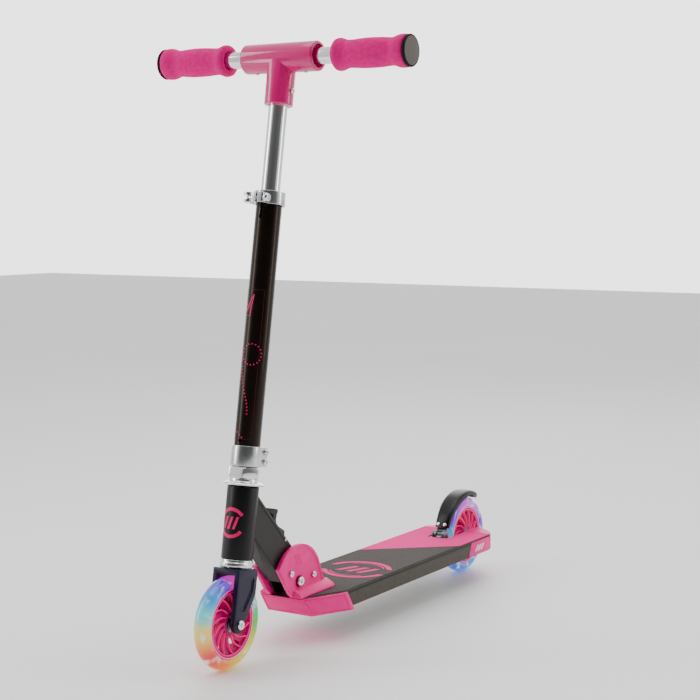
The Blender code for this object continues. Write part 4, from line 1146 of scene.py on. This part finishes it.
def make_studio():
    """The camera, a pale floor, broad soft lamps and the sky."""
    camera_place, target = Vector((1.1691, -1.8883, 0.5920)), Vector((0, -0.0212, 0.3846))
    camera = bpy.data.objects.new("camera", bpy.data.cameras.new("camera"))
    camera.data.lens = 80.66
    camera.data.sensor_width = 36.0
    camera.data.clip_end = 50
    aim(camera, camera_place, target)
    bpy.context.scene.camera = camera
    floor_shape = bmesh.new()
    bmesh.ops.create_grid(floor_shape, x_segments=1, y_segments=1, size=8)
    mesh = bpy.data.meshes.new("floor")
    floor_shape.to_mesh(mesh)
    floor_shape.free()
    mesh.materials.append(surface("pale_floor", "F4F3F2", 0.55, other="F7F6F5", patch_mm=400))
    floor = bpy.data.objects.new("floor", mesh)
    bpy.context.scene.collection.objects.link(floor)
    lamps = (
        ("left_strip", (-1.26, -1.14, 1.0), (0.4, 1.7), 12),
        ("right_strip", (1.58, 0.64, 1.0), (0.3, 1.7), 8),
        ("back", (-0.6, 2.0, 1.8), (1.4, 1.4), 12), ("top", (0, 0, 2.6), (2.0, 2.0), 26),
    )
    for name, place, size, power in lamps:
        lamp = bpy.data.lights.new(name, "AREA")
        lamp.shape = "RECTANGLE"
        lamp.size, lamp.size_y = size
        lamp.energy = power
        aim(bpy.data.objects.new(name, lamp), place, (0, 0, 0.35))
    make_sky(camera_place - target)


def make_sky(to_camera):
    """Bright ahead of the viewer and dark behind, so that gloss and chrome have contrast."""
    world = bpy.data.worlds.new("studio")
    world.use_nodes = True
    bpy.context.scene.world = world
    tree = world.node_tree
    background = tree.nodes["Background"]
    direction = add(tree, "ShaderNodeTexCoord").outputs["Generated"]
    facing = add(
        tree, "ShaderNodeVectorMath", {0: direction, 1: to_camera.normalized()}, operation="DOT_PRODUCT"
    )
    place = add(tree, "ShaderNodeMapRange", {"Value": facing.outputs["Value"], "From Min": -1.0})
    ramp = add(tree, "ShaderNodeValToRGB", {"Fac": place.outputs["Result"]})
    stops = ramp.color_ramp.elements
    stops[0].position, stops[0].color = 0.0, (1.0, 1.0, 1.0, 1.0)
    stops[1].position, stops[1].color = 1.0, (0.03, 0.03, 0.03, 1.0)
    for position, level in ((0.05, 1.0), (0.12, 0.4), (0.7, 0.3), (0.8, 0.06)):
        stops.new(position).color = (level, level, level, 1.0)
    tree.links.new(ramp.outputs["Color"], background.inputs["Color"])
    background.inputs["Strength"].default_value = 3.0


def build():
    make_deck()
    make_griptape()
    make_nose_bumper()
    make_dropouts()
    make_cheeks()
    make_hinge_bolts()
    dress(BLACK_PLASTIC, "hinge_block")
    make_neck()
    make_release_lever()
    make_head()
    make_fork()
    make_axle("front_axle", 20.5, FRONT_AXLE @ TILT, "steering")
    make_axle("rear_axle", 22.0, REAR_AXLE, "deck")
    make_stem()
    make_lower_clamp()
    make_upper_clamp()
    make_handle()
    glow = 0.95
    front = [
        (0.0, "FFE060"), (0.1, "FF2A08"), (0.19, "FF7A10"), (0.27, "F0C818"), (0.38, "E8E020"),
        (0.48, "20D838"), (0.58, "10C8C0"), (0.66, "9010F0"), (0.74, "F408C8"), (0.8, "5018E8"),
        (0.87, "08A0F0"), (0.94, "60E8F0"), (1.0, "FFE060"),
    ]
    rear = [
        (0.0, "30C8D8"), (0.15, "1868E8"), (0.28, "2888F0"), (0.42, "40B8E8"), (0.55, "9020E0"),
        (0.7, "E070F8"), (0.8, "D828F0"), (0.9, "7018E0"), (1.0, "30C8D8"),
    ]
    urethane = glowing_urethane("front_glow_urethane", FRONT_AXLE.translation, front, glow)
    make_wheel("front", FRONT_AXLE @ TILT, urethane)
    make_wheel("rear", REAR_AXLE, glowing_urethane("rear_glow_urethane", REAR_AXLE.translation, rear, glow))
    make_brake()
    make_studio()


build()
